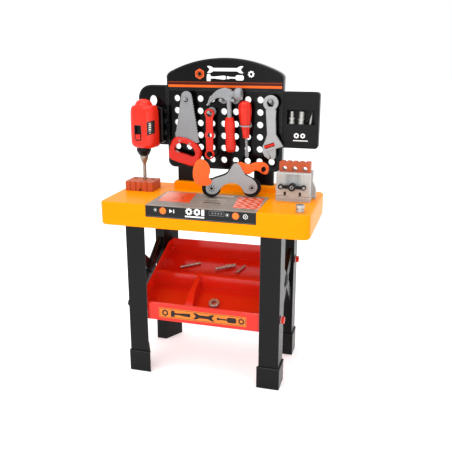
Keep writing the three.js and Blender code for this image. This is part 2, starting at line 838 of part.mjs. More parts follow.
function buildSpanner() {
  const half = SPANNER.thickness / 2;
  const rings = SPANNER.at.map((z) => extrude(disc(0, z, SPANNER.ring, 20), 'y', -half, half));
  const strap = block(-SPANNER.bar, -half, SPANNER.at[2], SPANNER.bar, half, 0);
  const holes = SPANNER.holes.map((radius, i) =>
    extrude(disc(0, SPANNER.at[i], radius, 14), 'y', -half - 1, half + 1),
  );
  return cut(join(...rings, strap), ...holes);
}

// ------------------------------------------------------------------------------------ hammer

const clawOutline = [
  [8, 19],
  [-9, 25],
  [-24, 22],
  [-38, 13],
  [-51, -2],
  [-56, -17],
  [-42, -7],
  [-30, 0],
  [-20, 0],
  [-10, 0],
  [-5, -7],
  [8, -7],
  [10, 8],
];

function buildHammerHead() {
  const half = HAMMER.headThickness / 2;
  const claw = extrude([...clawOutline].reverse(), 'y', -half, half, 2, 1);
  const poll = turned(
    [
      [0, 4],
      [9, 4],
      [8, POLL.start - 6],
      [POLL.radius - 2, POLL.start],
      [POLL.radius, POLL.start + 2],
      [POLL.radius, POLL.end - 2],
      [POLL.radius - 2, POLL.end],
      [0, POLL.end],
    ],
    16,
  );
  poll.rotateY(90 * DEG).translate(0, 0, POLL.centreZ);
  const neck = turned(
    [
      [0, HAMMER_GRIP.top - HAMMER_GRIP.socket + 1],
      [HAMMER.neckRadius, HAMMER_GRIP.top - HAMMER_GRIP.socket + 1],
      [HAMMER.neckRadius, -2],
      [0, -2],
    ],
    14,
  );
  return join(claw, poll, neck);
}

function buildHammerGrip() {
  const { top, bottom, socket } = HAMMER_GRIP;
  const grip = turned(
    [
      [0, bottom],
      [10, bottom + 1.5],
      [13.5, bottom + 7],
      [14, bottom + 14],
      [11.8, bottom + 42],
      [13.5, top - 24],
      [12.5, top - 10],
      [10.5, top],
      [0, top],
    ],
    16,
  );
  return cut(grip.scale(1, 0.85, 1), extrude(disc(0, 0, HAMMER.neckRadius + GAP, 16), 'z', top - socket, top + 1));
}

// ------------------------------------------------------------------------------- screwdriver

function buildDriverHandle() {
  const bottom = -27;
  const hole = DRIVER.shank + GAP;
  return turned(
    [
      [0, bottom + DRIVER.socket],
      [hole, bottom + DRIVER.socket],
      [hole, bottom],
      [8, bottom],
      [9, bottom + 3],
      [9.6, -12],
      [12, -1.5],
      [12.3, 2],
      [14.6, 15],
      [17, 34],
      [17.3, 44],
      [15.5, 54],
      [10, 60],
      [0, 62],
    ],
    16,
  );
}

function buildDriverShank() {
  const seat = -27 + DRIVER.socket - 1;
  const rod = turned(
    [
      [0, DRIVER.tip + 16],
      [DRIVER.shank, DRIVER.tip + 16],
      [DRIVER.shank, seat],
      [0, seat],
    ],
    16,
  );
  const tip = extrude(
    [
      [-3.5, DRIVER.tip],
      [3.5, DRIVER.tip],
      [5, DRIVER.tip + 9],
      [2.8, DRIVER.tip + 19],
      [-2.8, DRIVER.tip + 19],
      [-5, DRIVER.tip + 9],
    ],
    'y',
    -1.2,
    1.2,
  );
  return join(rod, tip);
}

// ------------------------------------------------------------------------- adjustable wrench

const jawSlope = [Math.cos(WRENCH.jawTilt * DEG), Math.sin(WRENCH.jawTilt * DEG)];
const trackOrigin = [0, -117];

/** A point given along and across the jaw's sliding direction, from the track's origin. */
const onTrack = (along, across) => [
  trackOrigin[0] + along * jawSlope[0] - across * jawSlope[1],
  trackOrigin[1] + along * jawSlope[1] + across * jawSlope[0],
];
const wormWindow = { from: -13.5, to: 14, low: 7, high: 17 };

const wrenchOutline = [
  [-12, -16],
  [-11, -40],
  [-9.5, -78],
  [-14, -92],
  [-21, -106],
  [-22, -122],
  [-16, -133],
  [-4, -141],
  onTrack(-7, -12),
  onTrack(-11, 0),
  onTrack(32, 0),
  [22, -93],
  [12.5, -78],
  [12, -40],
  [13, -16],
];

function buildWrenchBody() {
  const half = WRENCH.thickness / 2;
  const plate = extrude(wrenchOutline, 'y', -half, half, 1, 1);
  const eye = extrude(disc(0, 0, WRENCH.ring, 22), 'y', -half, half, 1, 1);
  const hex = extrude(disc(0, 0, WRENCH.hex, 6), 'y', -half - 1, half + 1);
  const { from, to, low, high } = wormWindow;
  const window = extrude(
    [onTrack(from, low), onTrack(to, low), onTrack(to, high), onTrack(from, high)],
    'y',
    -half - 1,
    half + 1,
  );
  const groove = extrude(
    [onTrack(-10.5, -2), onTrack(22, -2), onTrack(22, low + 1), onTrack(-10.5, low + 1)],
    'y',
    -1.9,
    1.9,
  );
  return cut(join(plate, eye), hex, window, groove);
}

function buildWrenchJaw() {
  const half = WRENCH.thickness / 2 - 0.5;
  const jaw = extrude(
    [onTrack(-9.6, -0.5), onTrack(-5.5, -13), onTrack(-7, -22), onTrack(0, -25), onTrack(6, -19), onTrack(12.5, -0.5)],
    'y',
    -half,
    half,
  );
  const rack = extrude(
    [onTrack(-9.6, -1), onTrack(12.5, -1), onTrack(12.5, wormWindow.low - 1), onTrack(-9.6, wormWindow.low - 1)],
    'y',
    -1.5,
    1.5,
  );
  return join(jaw, rack);
}

/** The worm: a cylinder with grooves, lying along the jaw's track in its window. */
function buildWorm() {
  const { from, to, low, high } = wormWindow;
  const length = to - from - 2 * GAP;
  const radius = (high - low) / 2 - GAP;
  const grooves = 3;
  const pitch = length / (2 * grooves + 1);
  const profile = [[0, 0]];
  for (let i = 0; i <= 2 * grooves; i += 1) {
    const r = i % 2 ? radius - 1 : radius;
    profile.push([r, i * pitch], [r, (i + 1) * pitch]);
  }
  profile.push([0, length]);
  const [x, z] = onTrack(from + GAP, (low + high) / 2);
  return turned(profile, 10)
    .rotateY((90 - WRENCH.jawTilt) * DEG)
    .translate(x, 0, z);
}

// ------------------------------------------------------------------------------------- drill

function buildDrillHousing() {
  const plan = rounded(-DRILL.left, -DRILL.half, DRILL.right, DRILL.half, 20, 4);
  const shoulder = DRILL.bottom + DRILL.shoulder;
  const body = extrude(plan, 'z', DRILL.bottom, shoulder, 5, 1);
  const domeRadius = 22;
  const rise = DRILL.dome - DRILL.shoulder;
  const dome = turned(
    [
      [0, -10],
      [domeRadius, -10],
      [domeRadius, 0],
      [domeRadius * 0.92, rise * 0.4],
      [domeRadius * 0.7, rise * 0.75],
      [domeRadius * 0.35, rise * 0.96],
      [0, rise],
    ],
    16,
  ).translate((DRILL.right - DRILL.left) / 2, 0, shoulder);
  const half = WINDOW.width / 2;
  const window = block(
    WINDOW.x - half,
    -DRILL.half - 1,
    DRILL.bottom + WINDOW.low,
    WINDOW.x + half,
    -DRILL.half + WINDOW.depth,
    DRILL.bottom + WINDOW.high,
  );
  const bearing = turned(
    [
      [0, DRILL.bottom - 1],
      [6 + GAP, DRILL.bottom - 1],
      [6 + GAP, DRILL.bottom + 10],
      [0, DRILL.bottom + 10],
    ],
    20,
  );
  return cut(join(body, dome), window, bearing);
}

function buildDrillSwitch() {
  const half = SWITCH.width / 2;
  const low = DRILL.bottom + WINDOW.low + SWITCH.margin;
  const back = -DRILL.half + WINDOW.depth - GAP;
  const plan = rounded(WINDOW.x - half, low, WINDOW.x + half, low + SWITCH.height, 2, 3);
  return extrude(plan, 'y', back - SWITCH.thickness, back, 1, 1);
}

/** The grip block on the housing's right: rounded, and cut to the housing's side. */
function buildDrillGrip() {
  const inner = DRILL.right + GAP;
  const [low, high] = [DRILL.bottom + GRIP.low, DRILL.bottom + GRIP.high];
  const outline = rounded(inner - 12, low, inner + GRIP.reach, high, [0, 8, 8, 0], 4);
  const keepOut = inset(rounded(-DRILL.left, -DRILL.half, DRILL.right, DRILL.half, 20, 4), -GAP);
  return cut(
    extrude(outline, 'y', GRIP.front, GRIP.back, 2, 1),
    extrude(keepOut, 'z', low - 1, high + 1),
  );
}

const chuckTop = DRILL.bottom - GAP;
const chuckNose = chuckTop - CHUCK.length;
const coneTip = chuckNose - GAP - CHUCK.coneLength;

const buildDrillChuck = () =>
  turned(
    [
      [0, chuckNose],
      [CHUCK.noseRadius, chuckNose],
      [CHUCK.noseRadius + 3, chuckNose + 5],
      [CHUCK.radius, chuckTop - 8],
      [CHUCK.radius, chuckTop],
      [6, chuckTop],
      [6, chuckTop + 9],
      [0, chuckTop + 9],
    ],
    20,
  );

function buildDrillBit() {
  const tip = BENCH.top + 2;
  const top = chuckNose - GAP;
  return turned(
    [
      [0, tip],
      [CHUCK.bitRadius, tip + 5],
      [CHUCK.bitRadius, coneTip],
      [CHUCK.bitRadius + 2.5, coneTip + 4],
      [CHUCK.noseRadius - 1, coneTip + 13],
      [CHUCK.noseRadius - 1, top],
      [0, top],
    ],
    14,
  );
}

/** A toy brick with three holes near one edge and grooves down its sides, centred on its middle hole. */
function buildBrick() {
  const { width, depth, height, hole, pitch, holeFromBack, groove, grooveWidth } = BRICK;
  const [front, back] = [holeFromBack - depth, holeFromBack];
  const body = extrude(rounded(-width / 2, front, width / 2, back, 2, 2), 'z', 0, height);
  const high = height + 1;
  const holes = [-pitch, 0, pitch].map((x) => extrude(disc(x, 0, hole, 14), 'z', -1, high));
  const grooves = [-1.5, -0.5, 0.5, 1.5].flatMap((k) => {
    const x = k * pitch * 0.62;
    const [x0, x1] = [x - grooveWidth / 2, x + grooveWidth / 2];
    return [
      block(x0, front - 1, -1, x1, front + groove, high),
      block(x0, back - groove, -1, x1, back + 1, high),
    ];
  });
  return cut(body, ...holes, ...grooves);
}

// -------------------------------------------------------------------------------------- vise

const viseBottom = BENCH.top + GAP;
const viseSlide = viseBottom + VISE.base;
const jawTop = viseSlide + VISE.jawHeight;
const jawBack = VISE.front + VISE.jaw;
const rearJawFront = jawBack + BRICK.height + 2 * GAP;
const viseBack = rearJawFront + VISE.jaw;
const hubZ = BENCH.top + VISE.hub;

function buildViseBody() {
  const half = VISE.width / 2;
  const base = extrude(rounded(-half, VISE.front, half, viseBack, 3, 2), 'z', viseBottom, viseSlide);
  const jaw = extrude(rounded(-half, rearJawFront, half, viseBack, 3, 2), 'z', viseSlide - 1, jawTop);
  const gussets = [-1, 1].map((side) => {
    const points = [
      [half - 2, viseBottom],
      [half + 8, viseBottom],
      [half + 8, viseSlide + 12],
      [half - 2, viseSlide + 34],
    ].map(([x, z]) => [side * x, z]);
    return extrude(side > 0 ? points : points.reverse(), 'y', rearJawFront + 2, viseBack - 2);
  });
  const slot = TONGUE.width / 2 + GAP;
  const groove = block(
    -slot,
    VISE.front - 1,
    viseSlide - TONGUE.height - GAP,
    slot,
    VISE.front + TONGUE.length + GAP,
    viseSlide + 1,
  );
  return cut(join(base, jaw, ...gussets), groove);
}

function buildViseJaw() {
  const half = VISE.width / 2;
  const low = viseSlide + GAP;
  const plate = extrude(rounded(-half, low, half, jawTop, 2, 2), 'y', VISE.front, jawBack, 1.5, 1);
  const tongue = block(
    -TONGUE.width / 2,
    VISE.front,
    viseSlide - TONGUE.height,
    TONGUE.width / 2,
    VISE.front + TONGUE.length,
    low + 2,
  );
  const underBrick = block(-half, jawBack, low, half, VISE.front + TONGUE.length + 1, jawTop);
  const recess = block(-16, VISE.front - 1, hubZ - 2, 15, VISE.front + 3, jawTop - 4);
  const bore = extrude(disc(VISE.hubX, hubZ, LEVER.shank + GAP, 14), 'y', VISE.front - 1, jawBack - 3);
  const hubRoom = extrude(disc(VISE.hubX, hubZ, LEVER.hubRadius + 1, 24), 'y', VISE.front - 1, VISE.front + 3);
  return cut(join(plate, tongue), underBrick, recess, hubRoom, bore);
}

/** The screw's lever: a hub, a flat bar with two round ends, and the shank behind it. */
function buildViseScrew() {
  const back = VISE.front - LEVER.standoff;
  const front = back - LEVER.thickness;
  const x = VISE.hubX;
  const tips = [-1, 1].map((side) => x + side * (LEVER.halfLength - LEVER.endRadius));
  const ends = tips.map((tip) => extrude(disc(tip, hubZ, LEVER.endRadius, 14), 'y', front, back));
  const barHalf = LEVER.barWidth / 2;
  const handle = block(tips[0], front, hubZ - barHalf, tips[1], back, hubZ + barHalf);
  const hub = extrude(disc(x, hubZ, LEVER.hubRadius, 18), 'y', front - 2, VISE.front + 3 - GAP);
  const shank = extrude(disc(x, hubZ, LEVER.shank, 14), 'y', front, jawBack - 3 - GAP);
  return join(...ends, handle, hub, shank);
}

// -------------------------------------------------------------------------------------- bike

const bikeFrameOutline = [
  [11.6, 87.5],
  [4, 84.5],
  [-10, 62],
  [-24, 55],
  [-43, 49],
  [-60, 38],
  [-65, 25],
  [-60, 13],
  [-48, 9.5],
  [-36, 14],
  [-24, 29],
  [-10, 37],
  [4, 38.4],
  [17, 33.4],
  [25, 25],
  [32, 13],
  [48.5, 9.5],
  [61, 16],
  [64, 31],
  [52, 47.7],
  [34, 57.5],
  [20, 82],
];
const fairingOutline = [
  [-80, 99],
  [-66, 96],
  [-56, 83],
  [-53, 69],
  [-57, 54],
  [-49, 43],
  [-57, 34],
  [-72, 33],
  [-86, 37],
  [-95, 50],
  [-96, 72],
  [-90, 90],
];
const seatOutline = [
  [10, 81],
  [23, 88.5],
  [42, 82],
  [58, 87],
  [78.5, 88],
  [91, 80],
  [93.6, 69],
  [88, 57],
  [77, 59],
  [61, 67.6],
  [44, 58],
  [30, 60],
  [14, 68],
];
const SPACERS = [
  [-10, 48],
  [28, 44],
];
const axleHeight = WHEEL.radius + 0.3;

function buildBikePlate(front, back) {
  const plate = extrude(smooth([...bikeFrameOutline].reverse(), 44), 'y', front, back);
  const holes = [-1, 1].map((side) =>
    extrude(disc(side * BIKE.hubX, axleHeight, BIKE.axle + GAP, 16), 'y', front - 1, back + 1),
  );
  return cut(plate, ...holes);
}

function buildBikeFront() {
  const front = -BIKE.gauge - BIKE.plate;
  const plate = buildBikePlate(front, -BIKE.gauge);
  const spacers = SPACERS.map(([x, z]) =>
    extrude(disc(x, z, BIKE.spacer, 12), 'y', -BIKE.gauge - 1, BIKE.gauge - GAP),
  );
  return join(plate, ...spacers);
}

const buildBikeRear = () => buildBikePlate(BIKE.gauge, BIKE.gauge + BIKE.plate);

/** A wheel with its stub axles, which turn in the holes of the two frame plates. */
function buildWheel(x) {
  const half = WHEEL.width / 2;
  const hub = BIKE.gauge - GAP;
  const stub = BIKE.gauge + BIKE.plate;
  const profile = [
    [0, -stub],
    [BIKE.axle, -stub],
    [BIKE.axle, -hub],
    [WHEEL.hubRadius, -hub],
    [WHEEL.hubRadius, -half],
    [WHEEL.radius - 3, -half],
    [WHEEL.radius, -half + 3],
    [WHEEL.radius, half - 3],
    [WHEEL.radius - 3, half],
    [WHEEL.hubRadius, half],
    [WHEEL.hubRadius, hub],
    [BIKE.axle, hub],
    [BIKE.axle, stub],
    [0, stub],
  ];
  return turned(profile, 20).rotateX(90 * DEG).translate(x, 0, axleHeight);
}

function buildFairing() {
  const back = -BIKE.gauge - BIKE.plate - GAP;
  return extrude(smooth([...fairingOutline].reverse(), 28), 'y', back - 5, back);
}

function buildSeat() {
  const half = BIKE.gauge - 2;
  const body = extrude(smooth([...seatOutline].reverse(), 32), 'y', -half, half, 2, 1);
  return cut(body, extrude(ring(80, 70, 6, 7.5, 20), 'y', -half - 1, half + 1));
}

// ------------------------------------------------------------------------------ loose pieces

/** A turned piece standing on its lower end, from [radius, height] steps. */
const steps = (rings, sides = 12) => {
  const profile = [[0, rings[0][1]]];
  for (const [radius, low, high] of rings) profile.push([radius, low], [radius, high]);
  profile.push([0, rings[rings.length - 1][2]]);
  return turned(profile, sides);
};

const pouchBoltA = () =>
  steps([
    [5, 0, 47],
    [8, 47, 53],
    [6.5, 53, 58],
    [8, 58, 63],
    [5, 63, 78],
  ]);

function pouchBoltB() {
  const body = steps([
    [5, 0, 46],
    [8.2, 46, 52],
    [6.5, 52, 56],
    [8.2, 56, 61],
    [7, 61, 78],
  ]);
  return cut(body, extrude(disc(0, 0, 4, 6), 'z', 70, 79));
}

const pouchBit = () =>
  turned(
    [
      [0, 0],
      [3.2, 0],
      [3.2, 58],
      [2.2, 66],
      [0, 78],
    ],
    12,
  );

const looseBit = () => steps([[3.4, 0, 22], [4.2, 22, 26], [3.4, 26, 56]], 12);
const looseBolt = () => steps([[3.6, 0, 30], [6.5, 30, 34], [5, 34, 38], [6.5, 38, 42], [4.2, 42, 56]], 12);
const loosePin = () => steps([[3.4, 0, 34]], 12);

function looseRingNut() {
  return cut(extrude(disc(0, 0, 14, 18), 'z', 0, 8, 1, 1), extrude(disc(0, 0, 7.5, 6), 'z', -1, 9));
}

function looseNut() {
  const body = steps([[10.5, 0, 7], [7.5, 7, 11], [10.5, 11, 18]], 16);
  return cut(body, extrude(disc(0, 0, 4.5, 10), 'z', -1, 19));
}

/** Lays a turned piece of a given radius on the tray's floor, pointing along a heading. */
function onTrayFloor(mesh, x, y, radius, heading) {
  const lay = new THREE.Group();
  lay.rotation.set(0, 90 * DEG, 0);
  lay.add(mesh);
  const turn = new THREE.Group();
  turn.rotation.set(0, 0, heading * DEG);
  turn.add(lay);
  return trayFrame([turn], x, y, radius);
}

/** A group whose Z is square to the tray's floor, a height above it. */
function trayFrame(children, x, y, height) {
  const pitch = Math.atan(TRAY.slope) / DEG;
  const lift = (height + GAP) / Math.cos(pitch * DEG);
  return placed(children, x, y, trayFloor(y) + lift, { pitch });
}

// -------------------------------------------------------------------------------- assembly

const yellow = plastic(COLOUR.yellow, 0.3);
const black = plastic(COLOUR.black, 0.42);
const red = plastic(COLOUR.red, 0.34);
const toolRed = plastic(COLOUR.tool, 0.36);
const steel = plastic(COLOUR.steel, 0.38, 0.2);
const silver = plastic(COLOUR.silver, 0.3, 0.6);
const brick = plastic(COLOUR.brick, 0.55);
const orange = plastic(COLOUR.orange, 0.35);
const print = plastic(COLOUR.print, 0.35);

const workbench = new THREE.Group();

workbench.add(
  named('bench_top', buildBench(), yellow),
  named('saw_table_panel', buildPanel(), print),
  named('control_fascia', buildFascia(), black),
);

const frame = buildSideFrame();
workbench.add(named('side_frame_right', frame, black), named('side_frame_left', mirrored(frame), black));
for (const which of ['front', 'rear']) {
  const foot = buildFoot(which);
  const bolt = buildTrayBolt(trayBoltAt[which]);
  workbench.add(
    named(`foot_${which}_right`, foot, black),
    named(`foot_${which}_left`, mirrored(foot), black),
    named(`tray_bolt_${which}_right`, bolt, toolRed),
    named(`tray_bolt_${which}_left`, mirrored(bolt), black),
  );
}
workbench.add(named('storage_tray', buildTray(), red));

workbench.add(
  named('post_left', buildPost(-1), black),
  named('post_right', buildPost(1), black),
  named('pegboard', buildBoard(), black),
  named('header_panel', buildHeader(), black),
  named('drill_wing', buildWing(), black),
  named('tool_pouch', buildPouch(), black),
);

const hammerRightColumn = HAMMER.leftColumn + 1;
workbench.add(
  atHole(SAW.column, SAW.row, named('peg_saw', buildPeg(), steel)),
  atHole(SPANNER.column, SPANNER.row, named('peg_spanner', buildPeg(), steel)),
  atHole(HAMMER.leftColumn, HAMMER.row, named('peg_hammer_left', buildPeg(), steel)),
  atHole(hammerRightColumn, HAMMER.row, named('peg_hammer_right', buildPeg(), steel)),
  atHole(WRENCH.column, WRENCH.row, named('peg_wrench', buildPeg(), steel)),
  atHole(DRIVER.column, DRIVER.row, named('ring_screwdriver', buildDriverRing(), steel)),
);

workbench.add(
  placed(
    [named('saw_blade', buildSawBlade(), steel), named('saw_handle', buildSawHandle(), toolRed)],
    holeX(SAW.column),
    TOOL_Y,
    hangZ(SAW.row, SAW.hole),
  ),
  placed(
    [named('hole_spanner', buildSpanner(), toolRed)],
    holeX(SPANNER.column),
    TOOL_Y,
    hangZ(SPANNER.row, SPANNER.holes[0]),
  ),
);

const hammerLift = PEG.rodRadius + PEG.hang + (HAMMER.neckX - holeX(HAMMER.leftColumn)) * Math.sin(HAMMER.tilt * DEG);
workbench.add(
  placed(
    [named('hammer_head', buildHammerHead(), steel), named('hammer_handle', buildHammerGrip(), toolRed)],
    HAMMER.neckX,
    TOOL_Y,
    holeZ(HAMMER.row) + hammerLift,
    { tilt: -HAMMER.tilt },
  ),
  placed(
    [named('screwdriver_handle', buildDriverHandle(), toolRed), named('screwdriver_shank', buildDriverShank(), steel)],
    holeX(DRIVER.column),
    TOOL_Y,
    holeZ(DRIVER.row),
    { tilt: -DRIVER.tilt },
  ),
  placed(
    [
      named('wrench_body', buildWrenchBody(), steel),
      named('wrench_jaw', buildWrenchJaw(), steel),
      named('wrench_worm', buildWorm(), toolRed),
    ],
    holeX(WRENCH.column),
    TOOL_Y,
    hangZ(WRENCH.row, WRENCH.hex * Math.cos(30 * DEG)),
    { tilt: -WRENCH.tilt },
  ),
);

workbench.add(
  placed(
    [
      named('drill_housing', buildDrillHousing(), toolRed),
      named('drill_grip', buildDrillGrip(), black),
      named('drill_switch', buildDrillSwitch(), toolRed),
      named('drill_chuck', buildDrillChuck(), black),
      named('drill_bit', buildDrillBit(), steel),
    ],
    DRILL.x,
    DRILL.y,
    0,
    { yaw: DRILL.yaw },
  ),
  placed([named('drill_block', buildBrick(), brick)], DRILL.x, DRILL.y, BENCH.top + GAP),
);

const viseBrick = named('vise_block', buildBrick(), brick);
viseBrick.rotation.set(90 * DEG, 0, 0);
viseBrick.position.set(0, jawBack + GAP + BRICK.height, BENCH.top + VISE_BRICK_LIFT + BRICK.depth - BRICK.holeFromBack);
workbench.add(
  placed(
    [
      named('vise_body', buildViseBody(), steel),
      named('vise_jaw', buildViseJaw(), steel),
      named('vise_screw', buildViseScrew(), black),
      viseBrick,
    ],
    VISE.x,
    0,
    0,
  ),
);

workbench.add(
  placed(
    [
      named('bike_frame_front', buildBikeFront(), steel),
      named('bike_frame_rear', buildBikeRear(), black),
      named('bike_wheel_left', buildWheel(-BIKE.hubX), black),
      named('bike_wheel_right', buildWheel(BIKE.hubX), black),
      named('bike_fairing', buildFairing(), orange),
      named('bike_seat', buildSeat(), orange),
    ],
    BIKE.x,
    BIKE.y,
    BENCH.top,
    { yaw: BIKE.yaw },
  ),
);

const pocketMiddle = (pocketFront + pocketBack) / 2;
const inPocket = (mesh, fromLeft, tilt) =>
  placed([mesh], pouchLeft + fromLeft, pocketMiddle, pocketFloor + 1, { tilt });
workbench.add(
  inPocket(named('pouch_bolt_a', pouchBoltA(), silver), 21, 0),
  inPocket(named('pouch_bolt_b', pouchBoltB(), silver), 42, 3),
  inPocket(named('pouch_bit', pouchBit(), silver), 61, 8),
);

workbench.add(
  onTrayFloor(named('loose_bit', looseBit(), silver), -113, 44, 4.2, 25),
  onTrayFloor(named('loose_bolt', looseBolt(), silver), -14, 46, 6.5, 25),
  onTrayFloor(named('loose_pin', loosePin(), silver), 46, 44, 3.4, 62),
  trayFrame([named('loose_ring_nut', looseRingNut(), silver)], 17, -68, 0),
  placed(
    [named('loose_nut', looseNut(), silver)],
    BENCH.width / 2 - LOOSE_NUT.fromEdge,
    benchFront + LOOSE_NUT.fromFront,
    BENCH.top + GAP,
  ),
);

export default workbench;
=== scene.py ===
"""The looks of a toy workbench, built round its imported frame.

Meshes are made in millimetres in the row frame (X right, Y back, Z up) and turned into metres
when they are fitted, so a piece lies exactly where the frame says.
"""

import logging
import math
from dataclasses import dataclass
from enum import Enum
from typing import Iterable, Optional, Sequence, Union

import bmesh
import bpy
from mathutils import Matrix, Vector


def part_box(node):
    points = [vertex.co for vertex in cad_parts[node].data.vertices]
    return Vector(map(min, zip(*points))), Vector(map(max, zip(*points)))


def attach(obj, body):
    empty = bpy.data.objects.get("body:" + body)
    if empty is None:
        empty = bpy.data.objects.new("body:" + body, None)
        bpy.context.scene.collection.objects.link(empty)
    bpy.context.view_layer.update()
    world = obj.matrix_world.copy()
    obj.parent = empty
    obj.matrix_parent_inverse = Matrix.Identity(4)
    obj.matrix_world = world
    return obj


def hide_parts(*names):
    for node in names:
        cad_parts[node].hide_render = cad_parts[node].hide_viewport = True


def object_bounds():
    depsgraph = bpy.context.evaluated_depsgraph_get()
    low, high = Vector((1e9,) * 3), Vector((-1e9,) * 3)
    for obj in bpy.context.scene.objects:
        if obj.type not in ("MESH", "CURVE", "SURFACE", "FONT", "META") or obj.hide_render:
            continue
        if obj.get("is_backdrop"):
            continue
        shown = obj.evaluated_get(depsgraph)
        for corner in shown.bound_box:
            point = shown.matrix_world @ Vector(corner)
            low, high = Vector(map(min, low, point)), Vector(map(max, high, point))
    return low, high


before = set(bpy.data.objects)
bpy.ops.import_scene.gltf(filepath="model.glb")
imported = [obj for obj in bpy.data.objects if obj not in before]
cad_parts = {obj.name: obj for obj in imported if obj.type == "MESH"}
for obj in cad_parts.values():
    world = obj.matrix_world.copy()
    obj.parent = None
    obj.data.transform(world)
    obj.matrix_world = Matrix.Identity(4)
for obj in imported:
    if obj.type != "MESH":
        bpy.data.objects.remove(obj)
CAD_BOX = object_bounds()

LOG = logging.getLogger("toy_workbench")
MM = 0.001
WHITE = (1.0, 1.0, 1.0, 1.0)

Point = Sequence[float]
Outline = Sequence[Point]
Spot = tuple[float, float, float]
Span = tuple[float, float]
Colour = tuple[float, float, float, float]
Value = Union["Wire", float]

WELD = 0.002  # two points of a mesh closer than this are one, in millimetres
AXIS = 1e-4  # a radius below this lies on the axis, in millimetres
FLAT = math.radians(1)  # faces that meet at less than this are one
HARD = math.radians(32)  # edges that turn by more than this are rounded


# ---------------------------------------------------------------- shader writing


def linear(code: str) -> Colour:
    """Turn a six-digit sRGB code into a linear colour.

    Args:
        code: six hexadecimal digits.

    Returns:
        Red, green, blue and alpha, linear.
    """
    parts = [int(code[i : i + 2], 16) / 255 for i in (0, 2, 4)]
    red, green, blue = (
        p / 12.92 if p <= 0.04045 else ((p + 0.055) / 1.055) ** 2.4 for p in parts
    )
    return red, green, blue, 1.0


class Wire:
    """A socket of a shader, used in expressions as if it were a number."""

    def __init__(self, sheet: "Sheet", socket: bpy.types.NodeSocket) -> None:
        """Hold the sheet and the socket."""
        self.sheet = sheet
        self.socket = socket

    def __add__(self, other: Value) -> "Wire":
        """Sum."""
        return self.sheet.math("ADD", self, other)

    def __radd__(self, other: float) -> "Wire":
        """Sum, with the number first."""
        return self.sheet.math("ADD", other, self)

    def __sub__(self, other: Value) -> "Wire":
        """Difference."""
        return self.sheet.math("SUBTRACT", self, other)

    def __rsub__(self, other: float) -> "Wire":
        """Difference, with the number first."""
        return self.sheet.math("SUBTRACT", other, self)

    def __mul__(self, other: Value) -> "Wire":
        """Product."""
        return self.sheet.math("MULTIPLY", self, other)

    def __rmul__(self, other: float) -> "Wire":
        """Product, with the number first."""
        return self.sheet.math("MULTIPLY", other, self)

    def __truediv__(self, other: Value) -> "Wire":
        """Quotient."""
        return self.sheet.math("DIVIDE", self, other)

    def __abs__(self) -> "Wire":
        """Size without its sign."""
        return self.sheet.math("ABSOLUTE", self)

    def __or__(self, other: Value) -> "Wire":
        """The larger of two: either mask."""
        return self.sheet.math("MAXIMUM", self, other)

    def __mod__(self, other: float) -> "Wire":
        """What is left after whole steps, always from 0 up."""
        return self.sheet.math("FLOORED_MODULO", self, other)

    def clamp(self) -> "Wire":
        """The value kept between 0 and 1."""
        return self.sheet.math("ADD", self, 0.0, clamp=True)

    def band(self, low: float, high: float, soft: float = 0.25) -> "Wire":
        """Mask that is 1 between two limits.

        Args:
            low: lower limit.
            high: upper limit.
            soft: width over which the mask fades at a limit.

        Returns:
            The mask.
        """
        half = (high - low) / 2
        return ((half - abs(self - (low + half))) / soft).clamp()


